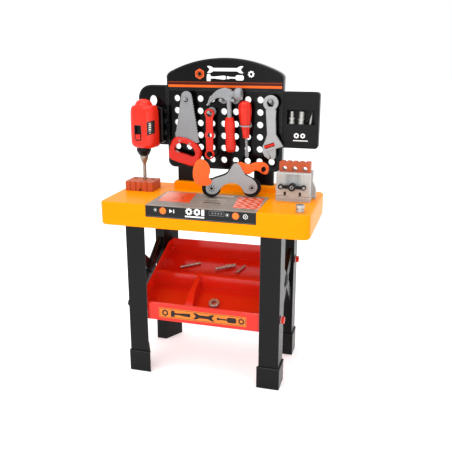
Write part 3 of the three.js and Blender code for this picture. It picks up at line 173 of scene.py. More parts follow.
class Sheet:
    """One material's node tree, with few ways to write in it."""

    def __init__(self, name: str) -> None:
        """Start a material that holds only a principled shader.

        Args:
            name: name of the material.
        """
        self.material = bpy.data.materials.new(name)
        self.material.use_nodes = True
        self.tree = self.material.node_tree
        self.tree.nodes.clear()
        self.shader = self.node("ShaderNodeBsdfPrincipled")
        surface = Wire(self, self.shader.outputs["BSDF"])
        self.node("ShaderNodeOutputMaterial", sockets={"Surface": surface})

    def node(
        self, kind: str, settings: Optional[dict] = None, sockets: Optional[dict] = None
    ) -> bpy.types.Node:
        """Add any node.

        Args:
            kind: the node's type.
            settings: attributes, which are set first.
            sockets: values or wires, by the input's name or number.

        Returns:
            The node.
        """
        made = self.tree.nodes.new(kind)
        for key, value in (settings or {}).items():
            setattr(made, key, value)
        self.plug(made, sockets or {})
        return made

    def plug(self, node: bpy.types.Node, sockets: dict) -> None:
        """Set sockets of a node to numbers or colours, or link them to wires.

        Args:
            node: the node.
            sockets: values or wires, by the input's name or number.
        """
        for key, value in sockets.items():
            if isinstance(value, Wire):
                self.tree.links.new(value.socket, node.inputs[key])
            else:
                node.inputs[key].default_value = value

    def add(
        self,
        kind: str,
        settings: Optional[dict] = None,
        sockets: Optional[dict] = None,
        out: Union[int, str] = 0,
    ) -> Wire:
        """Add any node and take one of its outputs.

        Args:
            kind: the node's type.
            settings: attributes, which are set first.
            sockets: values or wires, by the input's name or number.
            out: the output that is wanted.

        Returns:
            A wire from that output.
        """
        return Wire(self, self.node(kind, settings, sockets).outputs[out])

    def math(self, operation: str, *values: Value, clamp: bool = False) -> Wire:
        """Add a Math node.

        Args:
            operation: what it does.
            values: numbers or wires.
            clamp: whether the result is kept between 0 and 1.

        Returns:
            Its result.
        """
        settings = {"operation": operation, "use_clamp": clamp}
        return self.add("ShaderNodeMath", settings, dict(enumerate(values)))

    def vector(self, operation: str, first: object, second: object, out: str = "Vector") -> Wire:
        """Add a Vector Math node.

        Args:
            operation: what it does.
            first: a vector or a wire.
            second: a vector or a wire.
            out: "Vector", or "Value" where the result is a number.

        Returns:
            Its result.
        """
        settings = {"operation": operation}
        return self.add("ShaderNodeVectorMath", settings, {0: first, 1: second}, out)

    def mix(self, mask: Value, first: object, second: object) -> Wire:
        """Blend two colours.

        Args:
            mask: 0 gives the first colour and 1 the second.
            first: a colour or a wire.
            second: a colour or a wire.

        Returns:
            The blended colour.
        """
        settings = {"data_type": "RGBA", "clamp_factor": True}
        sockets = {"Factor": mask, 6: first, 7: second}
        return self.add("ShaderNodeMix", settings, sockets, 2)

    def ink(self, mask: Value, ground: Wire, code: str) -> Wire:
        """Print one ink over a ground.

        Args:
            mask: 1 where the ink covers the ground fully.
            ground: the colour under the ink.
            code: the ink's six-digit sRGB code.

        Returns:
            The printed colour.
        """
        return self.mix(mask, ground, linear(code))

    def place(self) -> Wire:
        """The point's position on its piece at rest, in the row frame."""
        return self.add("ShaderNodeTexCoord", out="Object")

    def noise(self, scale: Point, detail: float = 2.0, rough: float = 0.5) -> Wire:
        """Noise over the piece.

        Args:
            scale: features per metre along X, Y and Z.
            detail: octaves.
            rough: strength of the finer octaves.

        Returns:
            A value round 0.5.
        """
        stretched = self.vector("MULTIPLY", self.place(), tuple(scale))
        sockets = {"Vector": stretched, "Scale": 1.0, "Detail": detail, "Roughness": rough}
        return self.add("ShaderNodeTexNoise", None, sockets)

    def axes(self) -> tuple[Wire, Wire, Wire]:
        """Split the place on a piece at rest.

        Returns:
            X, Y and Z, in millimetres.
        """
        split = self.node("ShaderNodeSeparateXYZ", sockets={0: self.place()})
        x, y, z = (Wire(self, output) / MM for output in split.outputs)
        return x, y, z


# ---------------------------------------------------------------------- finishes


class Grain(Enum):
    """Surface left by a mould: noise features per metre, and height of the bump in metres."""

    POLISHED = (420.0, 0.00002)
    SATIN = (1400.0, 0.00004)
    LEATHERY = (900.0, 0.00012)
    MATT = (2600.0, 0.00006)


@dataclass(frozen=True)
class Moulded:
    """Moulded plastic: flow marks, mould grain, fine scratches and edges lightened by wear and a
    painted highlight.

    The tint is its colour, the edge colour that of its lighter edges (rubbed wear with a painted
    highlight), the mottle the spread of the flow marks, the edge strength how strongly those worn,
    lit edges show, the scatter how far light goes into it, and the shine its specular level.
    """

    label: str
    tint: str
    edge_wear_and_glint_colour: str
    roughness: float = 0.28
    grain: Grain = Grain.POLISHED
    mottle: float = 0.10
    edge_wear_and_glint: float = 0.45
    scatter: float = 0.0
    shine: float = 0.3

    FLOW = (9, 9, 14)
    CLOUD = (70, 70, 70)
    SCRATCH = (1900, 60, 130)
    EDGE_RADIUS = 0.0011
    EDGE_GAIN = 7.0
    SCATTER_SCALE = 0.004
    BUMP_STRENGTH = 0.55
    BUMP_GAIN = 4

    def print_on(self, sheet: Sheet, ground: Wire) -> Wire:
        """Colour that is printed over the plastic; plain plastic has none."""
        return ground

    def shade(self, factor: float) -> Colour:
        """The tint made lighter or darker by a factor."""
        return tuple(part * factor for part in linear(self.tint)[:3]) + (1.0,)

    def edges(self, sheet: Sheet, cloud: Wire) -> Wire:
        """Find worn edges with a painted highlight, from how far a rounded normal turns from the
        true one.

        Args:
            sheet: the material being written.
            cloud: noise that breaks the worn, lit edges up.

        Returns:
            The mask of the edges that get rubbed wear and a painted highlight.
        """
        eased = sheet.add("ShaderNodeBevel", {"samples": 4}, {"Radius": self.EDGE_RADIUS})
        facing = sheet.add("ShaderNodeNewGeometry", out="Normal")
        turn = sheet.vector("DOT_PRODUCT", eased, facing, "Value")
        return ((1 - turn) * self.EDGE_GAIN * (0.55 + cloud)).clamp() * self.edge_wear_and_glint

    def bump(self, sheet: Sheet, flow: Wire) -> Wire:
        """Write the grain that the mould leaves.

        Args:
            sheet: the material being written.
            flow: the flow marks, which swell the surface a little.

        Returns:
            The normal.
        """
        scale, height = self.grain.value
        grain = sheet.noise((scale, scale, scale), 2.0)
        sockets = {
            "Height": grain + flow * 0.6,
            "Strength": self.BUMP_STRENGTH,
            "Distance": height * self.BUMP_GAIN,
        }
        return sheet.add("ShaderNodeBump", None, sockets)

    def material(self) -> bpy.types.Material:
        """Make the material, or find it if it is made already.

        Returns:
            The finished material.
        """
        made = bpy.data.materials.get(self.label)
        if made:
            return made
        sheet = Sheet(self.label)
        flow = sheet.noise(self.FLOW, 3.0)
        cloud = sheet.noise(self.CLOUD, 4.0, 0.6)
        streaks = (flow * 0.7 + cloud * 0.3 - 0.3) * 2.5
        ground = sheet.mix(streaks, self.shade(1 - self.mottle), self.shade(1 + self.mottle))
        # Lighter edges: rubbed wear together with a painted highlight on every rounded edge.
        worn_and_glinting = sheet.ink(self.edges(sheet, cloud), ground, self.edge_wear_and_glint_colour)
        marks = ((sheet.noise(self.SCRATCH, 2.0, 0.4) - 0.66) * 9.0).clamp()
        sockets = {
            "Base Color": self.print_on(sheet, worn_and_glinting),
            "Roughness": self.roughness + (cloud - 0.5) * 0.16 + marks * 0.10,
            "Normal": self.bump(sheet, flow),
            "Specular IOR Level": self.shine,
            "Subsurface Weight": self.scatter,
            "Subsurface Scale": self.SCATTER_SCALE,
        }
        sheet.plug(sheet.shader, sockets)
        return sheet.material


@dataclass(frozen=True)
class Silvered(Moulded):
    """Plastic with a silver metallic finish, as on toy bolts."""

    metal: float = 0.72

    def material(self) -> bpy.types.Material:
        """Make the moulded finish and turn it partly metallic.

        Returns:
            The finished material.
        """
        made = super().material()
        for node in made.node_tree.nodes:
            if node.type == "BSDF_PRINCIPLED":
                node.inputs["Metallic"].default_value = self.metal
        return made


@dataclass(frozen=True)
class Patch:
    """Rectangle printed in one ink, in millimetres on the sheet."""

    across: Span
    along: Span
    code: str
    strength: float = 1.0
    soft: float = 0.4

    def laid(self, sheet: Sheet, ground: Wire, x: Wire, y: Wire) -> Wire:
        """Print the rectangle over a ground.

        Args:
            sheet: the material being written.
            ground: the colour under it.
            x: place across the sheet.
            y: place along the sheet.

        Returns:
            The printed colour.
        """
        mask = x.band(*self.across, self.soft) * y.band(*self.along, self.soft)
        return sheet.ink(mask * self.strength, ground, self.code)


@dataclass(frozen=True)
class TablePrint(Moulded):
    """Printed saw table: a grey sheet with two orange patches, a slot bar and a light border."""

    LIMITS = (-137.7, -125.7, 135.7, 27.7)
    LEAN = 0.12
    PATCHES = (
        Patch((-17, 39), (-73, -58), "A99C90"),
        Patch((-14, 36), (-70, -61), "33211B"),
        Patch((-28, 46), (3, 20), "D8D0C2"),
        Patch((-20, 38), (-34, -26), "B9AFA2", 0.8),
    )

    def patches(self, sheet: Sheet, ground: Wire, x: Wire, y: Wire) -> Wire:
        """Print the left patch, paler towards its left end as a painted reflection, and the zigzag
        patch on the right.

        Args:
            sheet: the material being written.
            ground: the colour under them.
            x: place across the table.
            y: place along the table.

        Returns:
            The printed colour.
        """
        lean = x + y * self.LEAN
        left = lean.band(-134, -52, 0.6) * y.band(-80, 21, 0.6)
        right = lean.band(60, 126, 0.6) * y.band(-98, 14, 0.6)
        # Painted reflection: the left patch pales from red to pink towards its left end.
        left_patch_with_reflection = sheet.mix(((lean + 134) / 60).clamp(), linear("E2A08C"), linear("DE4A1E"))
        left_patch_with_reflection = sheet.ink(((-20 - y) / 60).clamp() * 0.6, left_patch_with_reflection, "D8451A")
        colour = sheet.mix(left, ground, left_patch_with_reflection)
        specks = (x + y * 0.5).band(-93, -90.5) * y.band(-44, -20)
        specks = specks | (x - y * 0.35).band(-74, -71) * y.band(-56, -38)
        colour = sheet.ink(specks * 0.8, colour, "4A241A")
        tooth = abs((y + 200) % 26 - 13)
        zigzag = ((x + tooth * 1.2) % 21).band(0, 12.5, 0.5)
        hatch = sheet.mix(zigzag, linear("E39A86"), linear("D9421B"))
        return sheet.mix(right, colour, hatch)

    def print_on(self, sheet: Sheet, ground: Wire) -> Wire:
        """Print the table's patches, bars, ruler and border.

        Args:
            sheet: the material being written.
            ground: the grey of the sheet.

        Returns:
            The printed colour.
        """
        x, y, _ = sheet.axes()
        blur = sheet.noise((26, 26, 26), 2.0)
        colour = sheet.ink((blur - 0.35) * 2.0, ground, "8D857C")
        colour = self.patches(sheet, colour, x, y)
        for patch in self.PATCHES:
            colour = patch.laid(sheet, colour, x, y)
        ticks = (x % 4).band(0, 1.2, 0.2) * y.band(-34, -30, 0.3) * x.band(-20, 38)
        colour = sheet.ink(ticks * 0.8, colour, "3B3531")
        low_x, low_y, high_x, high_y = self.LIMITS
        outer, inner = (
            x.band(low_x + gap, high_x - gap) * y.band(low_y + gap, high_y - gap)
            for gap in (4, 5.4)
        )
        return sheet.ink((outer - inner) * 0.9, colour, "C9C2B8")


@dataclass(frozen=True)
class FasciaPrint(Moulded):
    """Printed black control strip: a grey lower line and a dashed read-out frame."""

    def print_on(self, sheet: Sheet, ground: Wire) -> Wire:
        """Print the strip's thin lines.

        Args:
            sheet: the material being written.
            ground: the black of the strip.

        Returns:
            The printed colour.
        """
        x, _, z = sheet.axes()
        lower = z.band(424.2, 425.2) * x.band(-134, 132)
        box = x.band(22, 60) * z.band(437.5, 449)
        hole = x.band(23, 59) * z.band(438.5, 448)
        dashes = (x % 6).band(0, 4, 0.3) | (z % 4).band(0, 2.4, 0.3)
        bars = (x % 7.2).band(0, 4.6, 0.3) * z.band(441, 445.5) * x.band(26, 56)
        colour = sheet.ink(lower * 0.7, ground, "8C8C8C")
        colour = sheet.ink((box - hole) * dashes * 0.7, colour, "9A9A9A")
        return sheet.ink(bars * 0.55, colour, "8E8E8E")


@dataclass(frozen=True)
class HeaderPrint(Moulded):
    """Black header with an orange stripe, a dark red band and a thin orange line."""

    STRIPES = (
        (723.5, 728.4, 0.5, "4A0F08"),
        (729.2, 730.6, 0.4, "B2481C"),
        (716.6, 723.2, 0.5, "F0661E"),
    )

    def print_on(self, sheet: Sheet, ground: Wire) -> Wire:
        """Print the header's stripes on its front face.

        Args:
            sheet: the material being written.
            ground: the black of the moulding.

        Returns:
            The printed colour.
        """
        x, y, z = sheet.axes()
        face = x.band(-150, 150, 0.5) * y.band(70, 84, 0.5)
        colour = ground
        for low, high, soft, code in self.STRIPES:
            colour = sheet.ink(z.band(low, high, soft) * face, colour, code)
        return colour


@dataclass(frozen=True)
class DrillPrint(Moulded):
    """Red drill shell with a slanted black label near its corner."""

    origin: Span = (-209.0, 46.0)
    yaw: float = -12.0
    slant: float = 0.35
    label_from: float = 37.0

    def print_on(self, sheet: Sheet, ground: Wire) -> Wire:
        """Print the label and its plain marks.

        Args:
            sheet: the material being written.
            ground: the red of the shell.

        Returns:
            The printed colour.
        """
        x, y, z = sheet.axes()
        turn = math.radians(self.yaw)
        across, deep = x - self.origin[0], y - self.origin[1]
        along = across * math.cos(turn) + deep * math.sin(turn)
        depth = deep * math.cos(turn) - across * math.sin(turn)
        front = depth.band(-40, 0)
        level = z - (along - self.label_from) * self.slant
        label = along.band(30.5, 44.0, 0.3) * level.band(600, 634, 0.3) * front
        steps = level.band(608, 630, 0.3) * (level % 5.6).band(0.6, 4.4, 0.3)
        marks = along.band(35, 39.8, 0.3) * steps
        foot = along.band(36, 38.8, 0.3) * level.band(603, 605, 0.3)
        colour = sheet.ink(label, ground, "120B0A")
        return sheet.ink((marks | foot) * front * 0.9, colour, "E8E4DC")


@dataclass(frozen=True)
class BrickPrint(Moulded):
    """Brick-coloured plastic with the speckle of a sand filler."""

    SPECKLE = (900, 900, 900)

    def print_on(self, sheet: Sheet, ground: Wire) -> Wire:
        """Add pale and dark speckles.

        Args:
            sheet: the material being written.
            ground: the colour of the plastic.

        Returns:
            The speckled colour.
        """
        fine = sheet.noise(self.SPECKLE, 1.0)
        colour = sheet.ink(((fine - 0.60) * 8.0).clamp() * 0.35, ground, "E89A72")
        return sheet.ink(((0.38 - fine) * 8.0).clamp() * 0.35, colour, "7A2F18")


class Finish(Enum):
    """Every finish on the workbench, with the name of the slot that it fills."""

    # Each finish's third code is the colour of its lighter edges: rubbed wear with a painted
    # highlight.
    YELLOW = (
        "yellow_plastic",
        Moulded("bench yellow", "FF9600", "FFAE14", 0.30, mottle=0.04, shine=0.05),
    )
    TABLE = ("table_print", TablePrint("saw table print", "7C746C", "A8A098", 0.36, Grain.SATIN))
    FASCIA = ("black_print", FasciaPrint("control strip print", "060606", "303030", 0.2))
    BLACK = (
        "black_plastic",
        Moulded("frame black", "0B0B0C", "6A6C70", 0.30, edge_wear_and_glint=0.5, shine=0.18),
    )
    HEADER = ("black_plastic", HeaderPrint("header black", "060607", "6A6C70", 0.24, shine=0.14))
    GLOSS = ("black_plastic", Moulded("board gloss black", "040405", "7A7C80", 0.16, shine=0.14))
    POUCH = (
        "black_plastic",
        Moulded("pouch black", "09090A", "66686C", 0.40, Grain.LEATHERY, shine=0.18),
    )
    RED = ("tool_red", Moulded("tool red", "D62412", "FF6444", 0.22, scatter=0.04, shine=0.3))
    DRILL = ("tool_red", DrillPrint("drill red", "DA2612", "FF6A4A", 0.24, scatter=0.04, shine=0.3))
    TRAY = ("tray_red", Moulded("tray red", "D92210", "FF6040", 0.14, mottle=0.05, shine=0.4))
    GREY = ("grey_plastic", Moulded("tool grey", "8A8C8F", "CCCECF", 0.22, Grain.SATIN, shine=0.55))
    PALE = ("grey_plastic", Moulded("pale grey", "A0A2A3", "DADBDC", 0.24, Grain.SATIN, shine=0.5))
    VISE = ("grey_plastic", Moulded("vise grey", "B2B3B0", "DCDDDB", 0.34, Grain.SATIN, shine=0.4))
    BRICK = ("brick_plastic", BrickPrint("brick orange", "B84C20", "DC7850", 0.45, Grain.MATT))
    TYRE = (
        "wheel_black",
        Moulded("tyre black", "101012", "4A4C50", 0.5, Grain.LEATHERY, shine=0.25),
    )
    ORANGE = ("orange_plastic", Moulded("fairing orange", "FA6010", "FF9A58", 0.24, scatter=0.04))
    SILVER = ("silver_plastic", Silvered("bolt silver", "B4B2AE", "E4E3E0", 0.26, Grain.SATIN))
    BRONZE = ("grey_plastic", Silvered("chuck steel", "9A9086", "CCC4BC", 0.25, Grain.SATIN))
    CREAM = ("black_print", Moulded("white print", "F7F7F5", "FFFFFF", 0.35, mottle=0.03))
    GLOW = ("orange_plastic", Moulded("orange print", "E85A1C", "FF9A60", 0.32, mottle=0.06))
    LABEL = ("orange_plastic", Moulded("label orange", "E27A22", "F0A050", 0.32, mottle=0.08))
    # Dark ink for printed signs, also used for the painted shade in the vise slots and block holes.
    DARK = ("black_print", Moulded("dark print and painted shade", "1B0F0B", "40322C", 0.4))
    FRAME_GREY = ("black_print", Moulded("grey print", "8A8A8A", "B0B0B0", 0.4))

    @property
    def slot(self) -> str:
        """Name of the material slot."""
        return self.value[0]

    def material(self) -> bpy.types.Material:
        """The finish's material."""
        return self.value[1].material()


# ------------------------------------------------------------------ mesh helpers


def smooth_loop(points: Outline, steps: int = 5) -> list[Point]:
    """Draw a smooth closed curve through points.

    Args:
        points: corners of the loop, in order.
        steps: points made for each side.

    Returns:
        Points of the curve.
    """
    made, count = [], len(points)
    for i in range(count):
        a, b, c, d = (Vector(points[(i + k) % count]) for k in (-1, 0, 1, 2))
        square, cube = 2 * a - 5 * b + 4 * c - d, 3 * b - a - 3 * c + d
        for step in range(steps):
            t = step / steps
            made.append(tuple(0.5 * (2 * b + (c - a) * t + square * t * t + cube * t**3)))
    return made


def bend(start: Vector, control: Vector, end: Vector, shares: Iterable[float]) -> list[Point]:
    """Points of a curve that leaves one point towards a second and arrives at a third.

    Args:
        start: where the curve begins.
        control: the point that pulls it.
        end: where it ends.
        shares: places on it, from 0 to 1.

    Returns:
        The points.
    """
    return [tuple(start * (1 - t) ** 2 + control * 2 * t * (1 - t) + end * t * t) for t in shares]


def eased_corners(points: Outline, radius: float, closed: bool = True) -> list[Point]:
    """Round the corners of an outline or profile.

    Args:
        points: corners, in order.
        radius: how far from a corner its curve begins.
        closed: whether the last point joins the first.

    Returns:
        Points with each corner replaced by a short curve.
    """
    made, count = [], len(points)
    for i, corner in enumerate(points):
        here = Vector(corner)
        if not closed and i in (0, count - 1):
            made.append(tuple(here))
            continue
        sides = [Vector(points[k]) - here for k in (i - 1, (i + 1) % count)]
        start, end = (here + side * min(0.45, radius / max(side.length, 1e-6)) for side in sides)
        made += bend(start, here, end, (0.0, 0.33, 0.67, 1.0))
    return made


def ring(
    radius: float, count: int = 48, centre: Point = (0.0, 0.0), turn: float = 0.0
) -> list[Point]:
    """Points of a circle, or of a polygon when the count is small.

    Args:
        radius: distance of the points from the centre.
        count: number of points.
        centre: middle of the ring.
        turn: angle of the first point, in degrees.

    Returns:
        The points.
    """
    return [
        (
            centre[0] + radius * math.cos(math.tau * i / count + math.radians(turn)),
            centre[1] + radius * math.sin(math.tau * i / count + math.radians(turn)),
        )
        for i in range(count)
    ]


def box_outline(
    low_x: float, low_y: float, high_x: float, high_y: float, corner: float = 1.0
) -> list[Point]:
    """Rectangle with rounded corners.

    Args:
        low_x: left side.
        low_y: lower side.
        high_x: right side.
        high_y: upper side.
        corner: how far from a corner its curve begins.

    Returns:
        The outline.
    """
    corners = [(low_x, low_y), (high_x, low_y), (high_x, high_y), (low_x, high_y)]
    return eased_corners(corners, corner)


def finished(work: bmesh.types.BMesh, mesh: bpy.types.Mesh) -> bpy.types.Mesh:
    """Turn all faces outwards and write the work into a mesh.

    Args:
        work: the open work, which is closed.
        mesh: the mesh that takes it.

    Returns:
        The mesh.
    """
    bmesh.ops.recalc_face_normals(work, faces=work.faces)
    work.to_mesh(mesh)
    work.free()
    return mesh


def carrier(mesh: bpy.types.ID) -> bpy.types.Object:
    """Put a mesh or curve into the scene for a modifier or a conversion.

    Args:
        mesh: the mesh or curve.

    Returns:
        The object that holds it.
    """
    holder = bpy.data.objects.new("carrier", mesh)
    bpy.context.scene.collection.objects.link(holder)
    return holder


def taken(holder: bpy.types.Object, *others: bpy.types.Object) -> bpy.types.Mesh:
    """Take the finished mesh from a carrier and drop the carriers.

    Args:
        holder: the carrier with its modifiers.
        others: carriers that it used.

    Returns:
        The finished mesh.
    """
    graph = bpy.context.evaluated_depsgraph_get()
    mesh = bpy.data.meshes.new_from_object(holder.evaluated_get(graph))
    for thing in (holder, *others):
        bpy.data.objects.remove(thing)
    return mesh


def from_curve(curve: bpy.types.Curve) -> bpy.types.Mesh:
    """Turn a curve into a closed mesh and drop the curve.

    Args:
        curve: the curve.

    Returns:
        The mesh, with its doubled points merged.
    """
    mesh = taken(carrier(curve))
    work = bmesh.new()
    work.from_mesh(mesh)
    bmesh.ops.remove_doubles(work, verts=work.verts, dist=WELD)
    bmesh.ops.dissolve_degenerate(work, edges=work.edges, dist=WELD)
    return finished(work, mesh)


def traced(curve: bpy.types.Curve, loop: Outline, closed: bool = True) -> None:
    """Add a loop or path to a curve.

    Args:
        curve: the curve.
        loop: points in a plane or in space.
        closed: whether the last point joins the first.
    """
    spline = curve.splines.new("POLY")
    spline.points.add(len(loop) - 1)
    for point, place in zip(spline.points, loop):
        point.co = (*Vector(place).to_3d(), 1)
    spline.use_cyclic_u = closed


def plate(
    outline: Outline,
    low: float,
    high: float,
    holes: Iterable[Outline] = (),
    edge: float = 0.4,
) -> bpy.types.Mesh:
    """Flat plate with rounded edges, lying in XY.

    Args:
        outline: outer loop.
        low: height of its underside.
        high: height of its top.
        holes: inner loops.
        edge: radius of its edges.

    Returns:
        The plate.
    """
    edge = min(edge, (high - low) * 0.49)
    curve = bpy.data.curves.new("plate", "CURVE")
    curve.dimensions, curve.fill_mode = "2D", "BOTH"
    for loop in (outline, *holes):
        traced(curve, loop)
    curve.extrude = (high - low) / 2 - edge
    curve.bevel_depth, curve.bevel_resolution, curve.offset = edge, 1, -edge
    mesh = from_curve(curve)
    mesh.transform(Matrix.Translation((0, 0, (low + high) / 2)))
    return mesh


UPRIGHT = Matrix.Rotation(math.radians(90), 4, "X")
SIDEWAYS = Matrix.Rotation(math.radians(90), 4, "Z") @ UPRIGHT


def upright(
    outline: Outline, front: float, back: float, holes: Iterable[Outline] = (), edge: float = 0.4
) -> bpy.types.Mesh:
    """Plate that stands in XZ.

    Args:
        outline: outer loop, as X and Z.
        front: Y of its front face.
        back: Y of its back face.
        holes: inner loops.
        edge: radius of its edges.

    Returns:
        The plate.
    """
    mesh = plate(outline, -back, -front, holes, edge)
    mesh.transform(UPRIGHT)
    return mesh


def sideways(
    outline: Outline, low: float, high: float, holes: Iterable[Outline] = (), edge: float = 0.4
) -> bpy.types.Mesh:
    """Plate that stands in YZ.

    Args:
        outline: outer loop, as Y and Z.
        low: X of its left face.
        high: X of its right face.
        holes: inner loops.
        edge: radius of its edges.

    Returns:
        The plate.
    """
    mesh = plate(outline, low, high, holes, edge)
    mesh.transform(SIDEWAYS)
    return mesh


def turned(
    profile: Outline, count: int = 56, ease: float = 0.0, flutes: int = 0, depth: float = 0.0
) -> bpy.types.Mesh:
    """Body turned about Z.

    Args:
        profile: radius and height of each step, from the bottom up.
        count: points round the body.
        ease: rounding of the profile's corners.
        flutes: number of hollows round it.
        depth: depth of those hollows.

    Returns:
        The closed body.
    """
    steps = eased_corners(profile, ease, closed=False) if ease else profile
    work = bmesh.new()
    rows = []
    for radius, height in steps:
        row = []
        for i in range(count if radius >= AXIS else 1):
            angle = math.tau * i / count
            hollow = depth * (0.5 + 0.5 * math.cos(flutes * angle)) if flutes else 0
            reach = radius - hollow if radius >= AXIS else 0
            row.append(work.verts.new((reach * math.cos(angle), reach * math.sin(angle), height)))
        rows.append(row)
    for low, high in zip(rows, rows[1:]):
        for i in range(count):
            k = (i + 1) % count
            if len(low) == 1 and len(high) > 1:
                work.faces.new((low[0], high[k], high[i]))
            elif len(high) == 1 and len(low) > 1:
                work.faces.new((low[i], low[k], high[0]))
            elif len(low) > 1:
                work.faces.new((low[i], low[k], high[k], high[i]))
    if len(rows[0]) > 1:
        work.faces.new(list(reversed(rows[0])))
    if len(rows[-1]) > 1:
        work.faces.new(rows[-1])
    return finished(work, bpy.data.meshes.new("turned"))


def skinned(rings: Sequence[Outline]) -> bpy.types.Mesh:
    """Skin level loops of equal count from the first to the last, and close both ends.

    Args:
        rings: loops of points in space, all with the same count.

    Returns:
        The closed body.
    """
    work = bmesh.new()
    rows = [[work.verts.new(point) for point in loop] for loop in rings]
    for low, high in zip(rows, rows[1:]):
        for i in range(len(low)):
            k = (i + 1) % len(low)
            work.faces.new((low[i], low[k], high[k], high[i]))
    work.faces.new(list(reversed(rows[0])))
    work.faces.new(rows[-1])
    return finished(work, bpy.data.meshes.new("skinned"))


def carved(mesh: bpy.types.Mesh, cutter: bpy.types.Mesh) -> bpy.types.Mesh:
    """Cut one closed body out of another.

    Args:
        mesh: the body.
        cutter: what is taken away.

    Returns:
        What is left of the body.
    """
    whole, tool = carrier(mesh), carrier(cutter)
    cut = whole.modifiers.new("cut", "BOOLEAN")
    cut.operation, cut.solver, cut.object = "DIFFERENCE", "EXACT", tool
    return taken(whole, tool)


def bar(points: Outline, radius: float, closed: bool = False) -> bpy.types.Mesh:
    """Round bar along a path.

    Args:
        points: the path.
        radius: the bar's radius.
        closed: whether it is a loop.

    Returns:
        The bar.
    """
    curve = bpy.data.curves.new("bar", "CURVE")
    curve.dimensions, curve.use_fill_caps = "3D", True
    traced(curve, points, closed)
    curve.bevel_depth, curve.bevel_resolution = radius, 3
    return from_curve(curve)


def joined(*meshes: bpy.types.Mesh) -> bpy.types.Mesh:
    """Put several bodies into one mesh.

    Args:
        meshes: the bodies.

    Returns:
        The mesh that holds them all.
    """
    work = bmesh.new()
    for mesh in meshes:
        work.from_mesh(mesh)
    whole = bpy.data.meshes.new("joined")
    work.to_mesh(whole)
    work.free()
    return whole


def moved(mesh: bpy.types.Mesh, *steps: Matrix) -> bpy.types.Mesh:
    """Apply placements to a mesh.

    Args:
        mesh: the mesh.
        steps: placements, of which the last is applied first.

    Returns:
        The same mesh.
    """
    for step in reversed(steps):
        mesh.transform(step)
    return mesh


def shift(x: float, y: float, z: float) -> Matrix:
    """Placement that moves by a distance."""
    return Matrix.Translation((x, y, z))


def spin(degrees: float, axis: str) -> Matrix:
    """Placement that turns about an axis."""
    return Matrix.Rotation(math.radians(degrees), 4, axis)


def framed(node: str) -> tuple[Vector, Vector]:
    """Find the box of a node of the frame.

    Args:
        node: name of the node.

    Returns:
        Its lowest and highest corner, in millimetres.
    """
    low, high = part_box(node)
    return low / MM, high / MM


def softened(node: str, radius: float = 0.7, steps: int = 2) -> bpy.types.Mesh:
    """Form of a frame node with its hard edges rounded as a mould leaves them.

    Args:
        node: name of the node.
        radius: width of the rounding, in millimetres.
        steps: faces across the rounding.

    Returns:
        The form, in millimetres.
    """
    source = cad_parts[node].data
    mesh = bpy.data.meshes.new(node + "_form")
    faces = [polygon.vertices[:] for polygon in source.polygons]
    mesh.from_pydata([vertex.co / MM for vertex in source.vertices], [], faces)
    work = bmesh.new()
    work.from_mesh(mesh)
    bmesh.ops.remove_doubles(work, verts=work.verts, dist=WELD)
    bmesh.ops.dissolve_limit(work, angle_limit=FLAT, verts=work.verts, edges=work.edges)
    holder = carrier(finished(work, mesh))
    bevel = holder.modifiers.new("rounding", "BEVEL")
    bevel.width, bevel.segments, bevel.limit_method = radius, steps, "ANGLE"
    bevel.angle_limit = HARD
    bevel.use_clamp_overlap = True
    return taken(holder)


def fit(
    name: str,
    mesh: bpy.types.Mesh,
    body: str,
    finish: Finish,
    *nodes: str,
    sharp: float = 35.0,
) -> bpy.types.Object:
    """Fit a piece to the workbench.

    Args:
        name: name of the piece.
        mesh: its mesh, in millimetres in the row frame.
        body: the body that it rides on.
        finish: its finish.
        nodes: frame nodes that it stands for.
        sharp: edges that turn by more than this stay crisp, in degrees.

    Returns:
        The piece.
    """
    mesh.transform(Matrix.Scale(MM, 4))
    mesh.name = name
    mesh.materials.clear()
    mesh.materials.append(finish.material())
    mesh.shade_smooth()
    mesh.set_sharp_from_angle(angle=math.radians(sharp))
    piece = bpy.data.objects.new(name, mesh)
    bpy.context.scene.collection.objects.link(piece)
    level = piece.modifiers.new("shading", "WEIGHTED_NORMAL")
    level.keep_sharp = True
    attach(piece, body)
    finish.slot
    if nodes:
        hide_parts(*nodes)
    LOG.info("%s on %s", name, body)
    return piece


def fit_form(
    node: str, body: str, finish: Finish, radius: float = 0.7, steps: int = 2
) -> bpy.types.Object:
    """Fit the softened form of a frame node in place of the node.

    Args:
        node: name of the node.
        body: the body that it rides on.
        finish: its finish.
        radius: width of the rounding of its edges, in millimetres.
        steps: faces across the rounding.

    Returns:
        The piece.
    """
    return fit(node + "_form", softened(node, radius, steps), body, finish, node)


def grown(loop: Outline, by: float) -> list[Point]:
    """Move the sides of a loop outwards, or inwards when the distance is negative.

    Args:
        loop: corners of a convex loop, counter-clockwise.
        by: distance.

    Returns:
        The new loop.
    """
    made, count = [], len(loop)
    for i in range(count):
        a, b, c = (Vector(loop[(i + k) % count]) for k in (-1, 0, 1))
        first, second = (b - a).normalized(), (c - b).normalized()
        out_a, out_b = Vector((first.y, -first.x)), Vector((second.y, -second.x))
        made.append(tuple(b + (out_a + out_b) / (1 + out_a.dot(out_b)) * by))
    return made


def tray_panel(
    outline: Outline,
    front: float,
    back: float,
    face: float,
    rim: float,
    holes: Iterable[Outline] = (),
) -> bpy.types.Mesh:
    """Moulded panel: a thin face with a deeper rim that stands a hair proud of it.

    Args:
        outline: outer loop, counter-clockwise, as X and Z.
        front: Y of the rim's front.
        back: Y of the rim's back.
        face: thickness of the face.
        rim: thickness of the rim.
        holes: openings in the face.

    Returns:
        The panel.
    """
    inner = grown(outline, -rim)
    border = upright(outline, front, back, [inner], 0.7)
    sheet = upright(grown(outline, -rim * 0.4), front + 0.35, front + face, holes, 0.5)
    return joined(border, sheet)


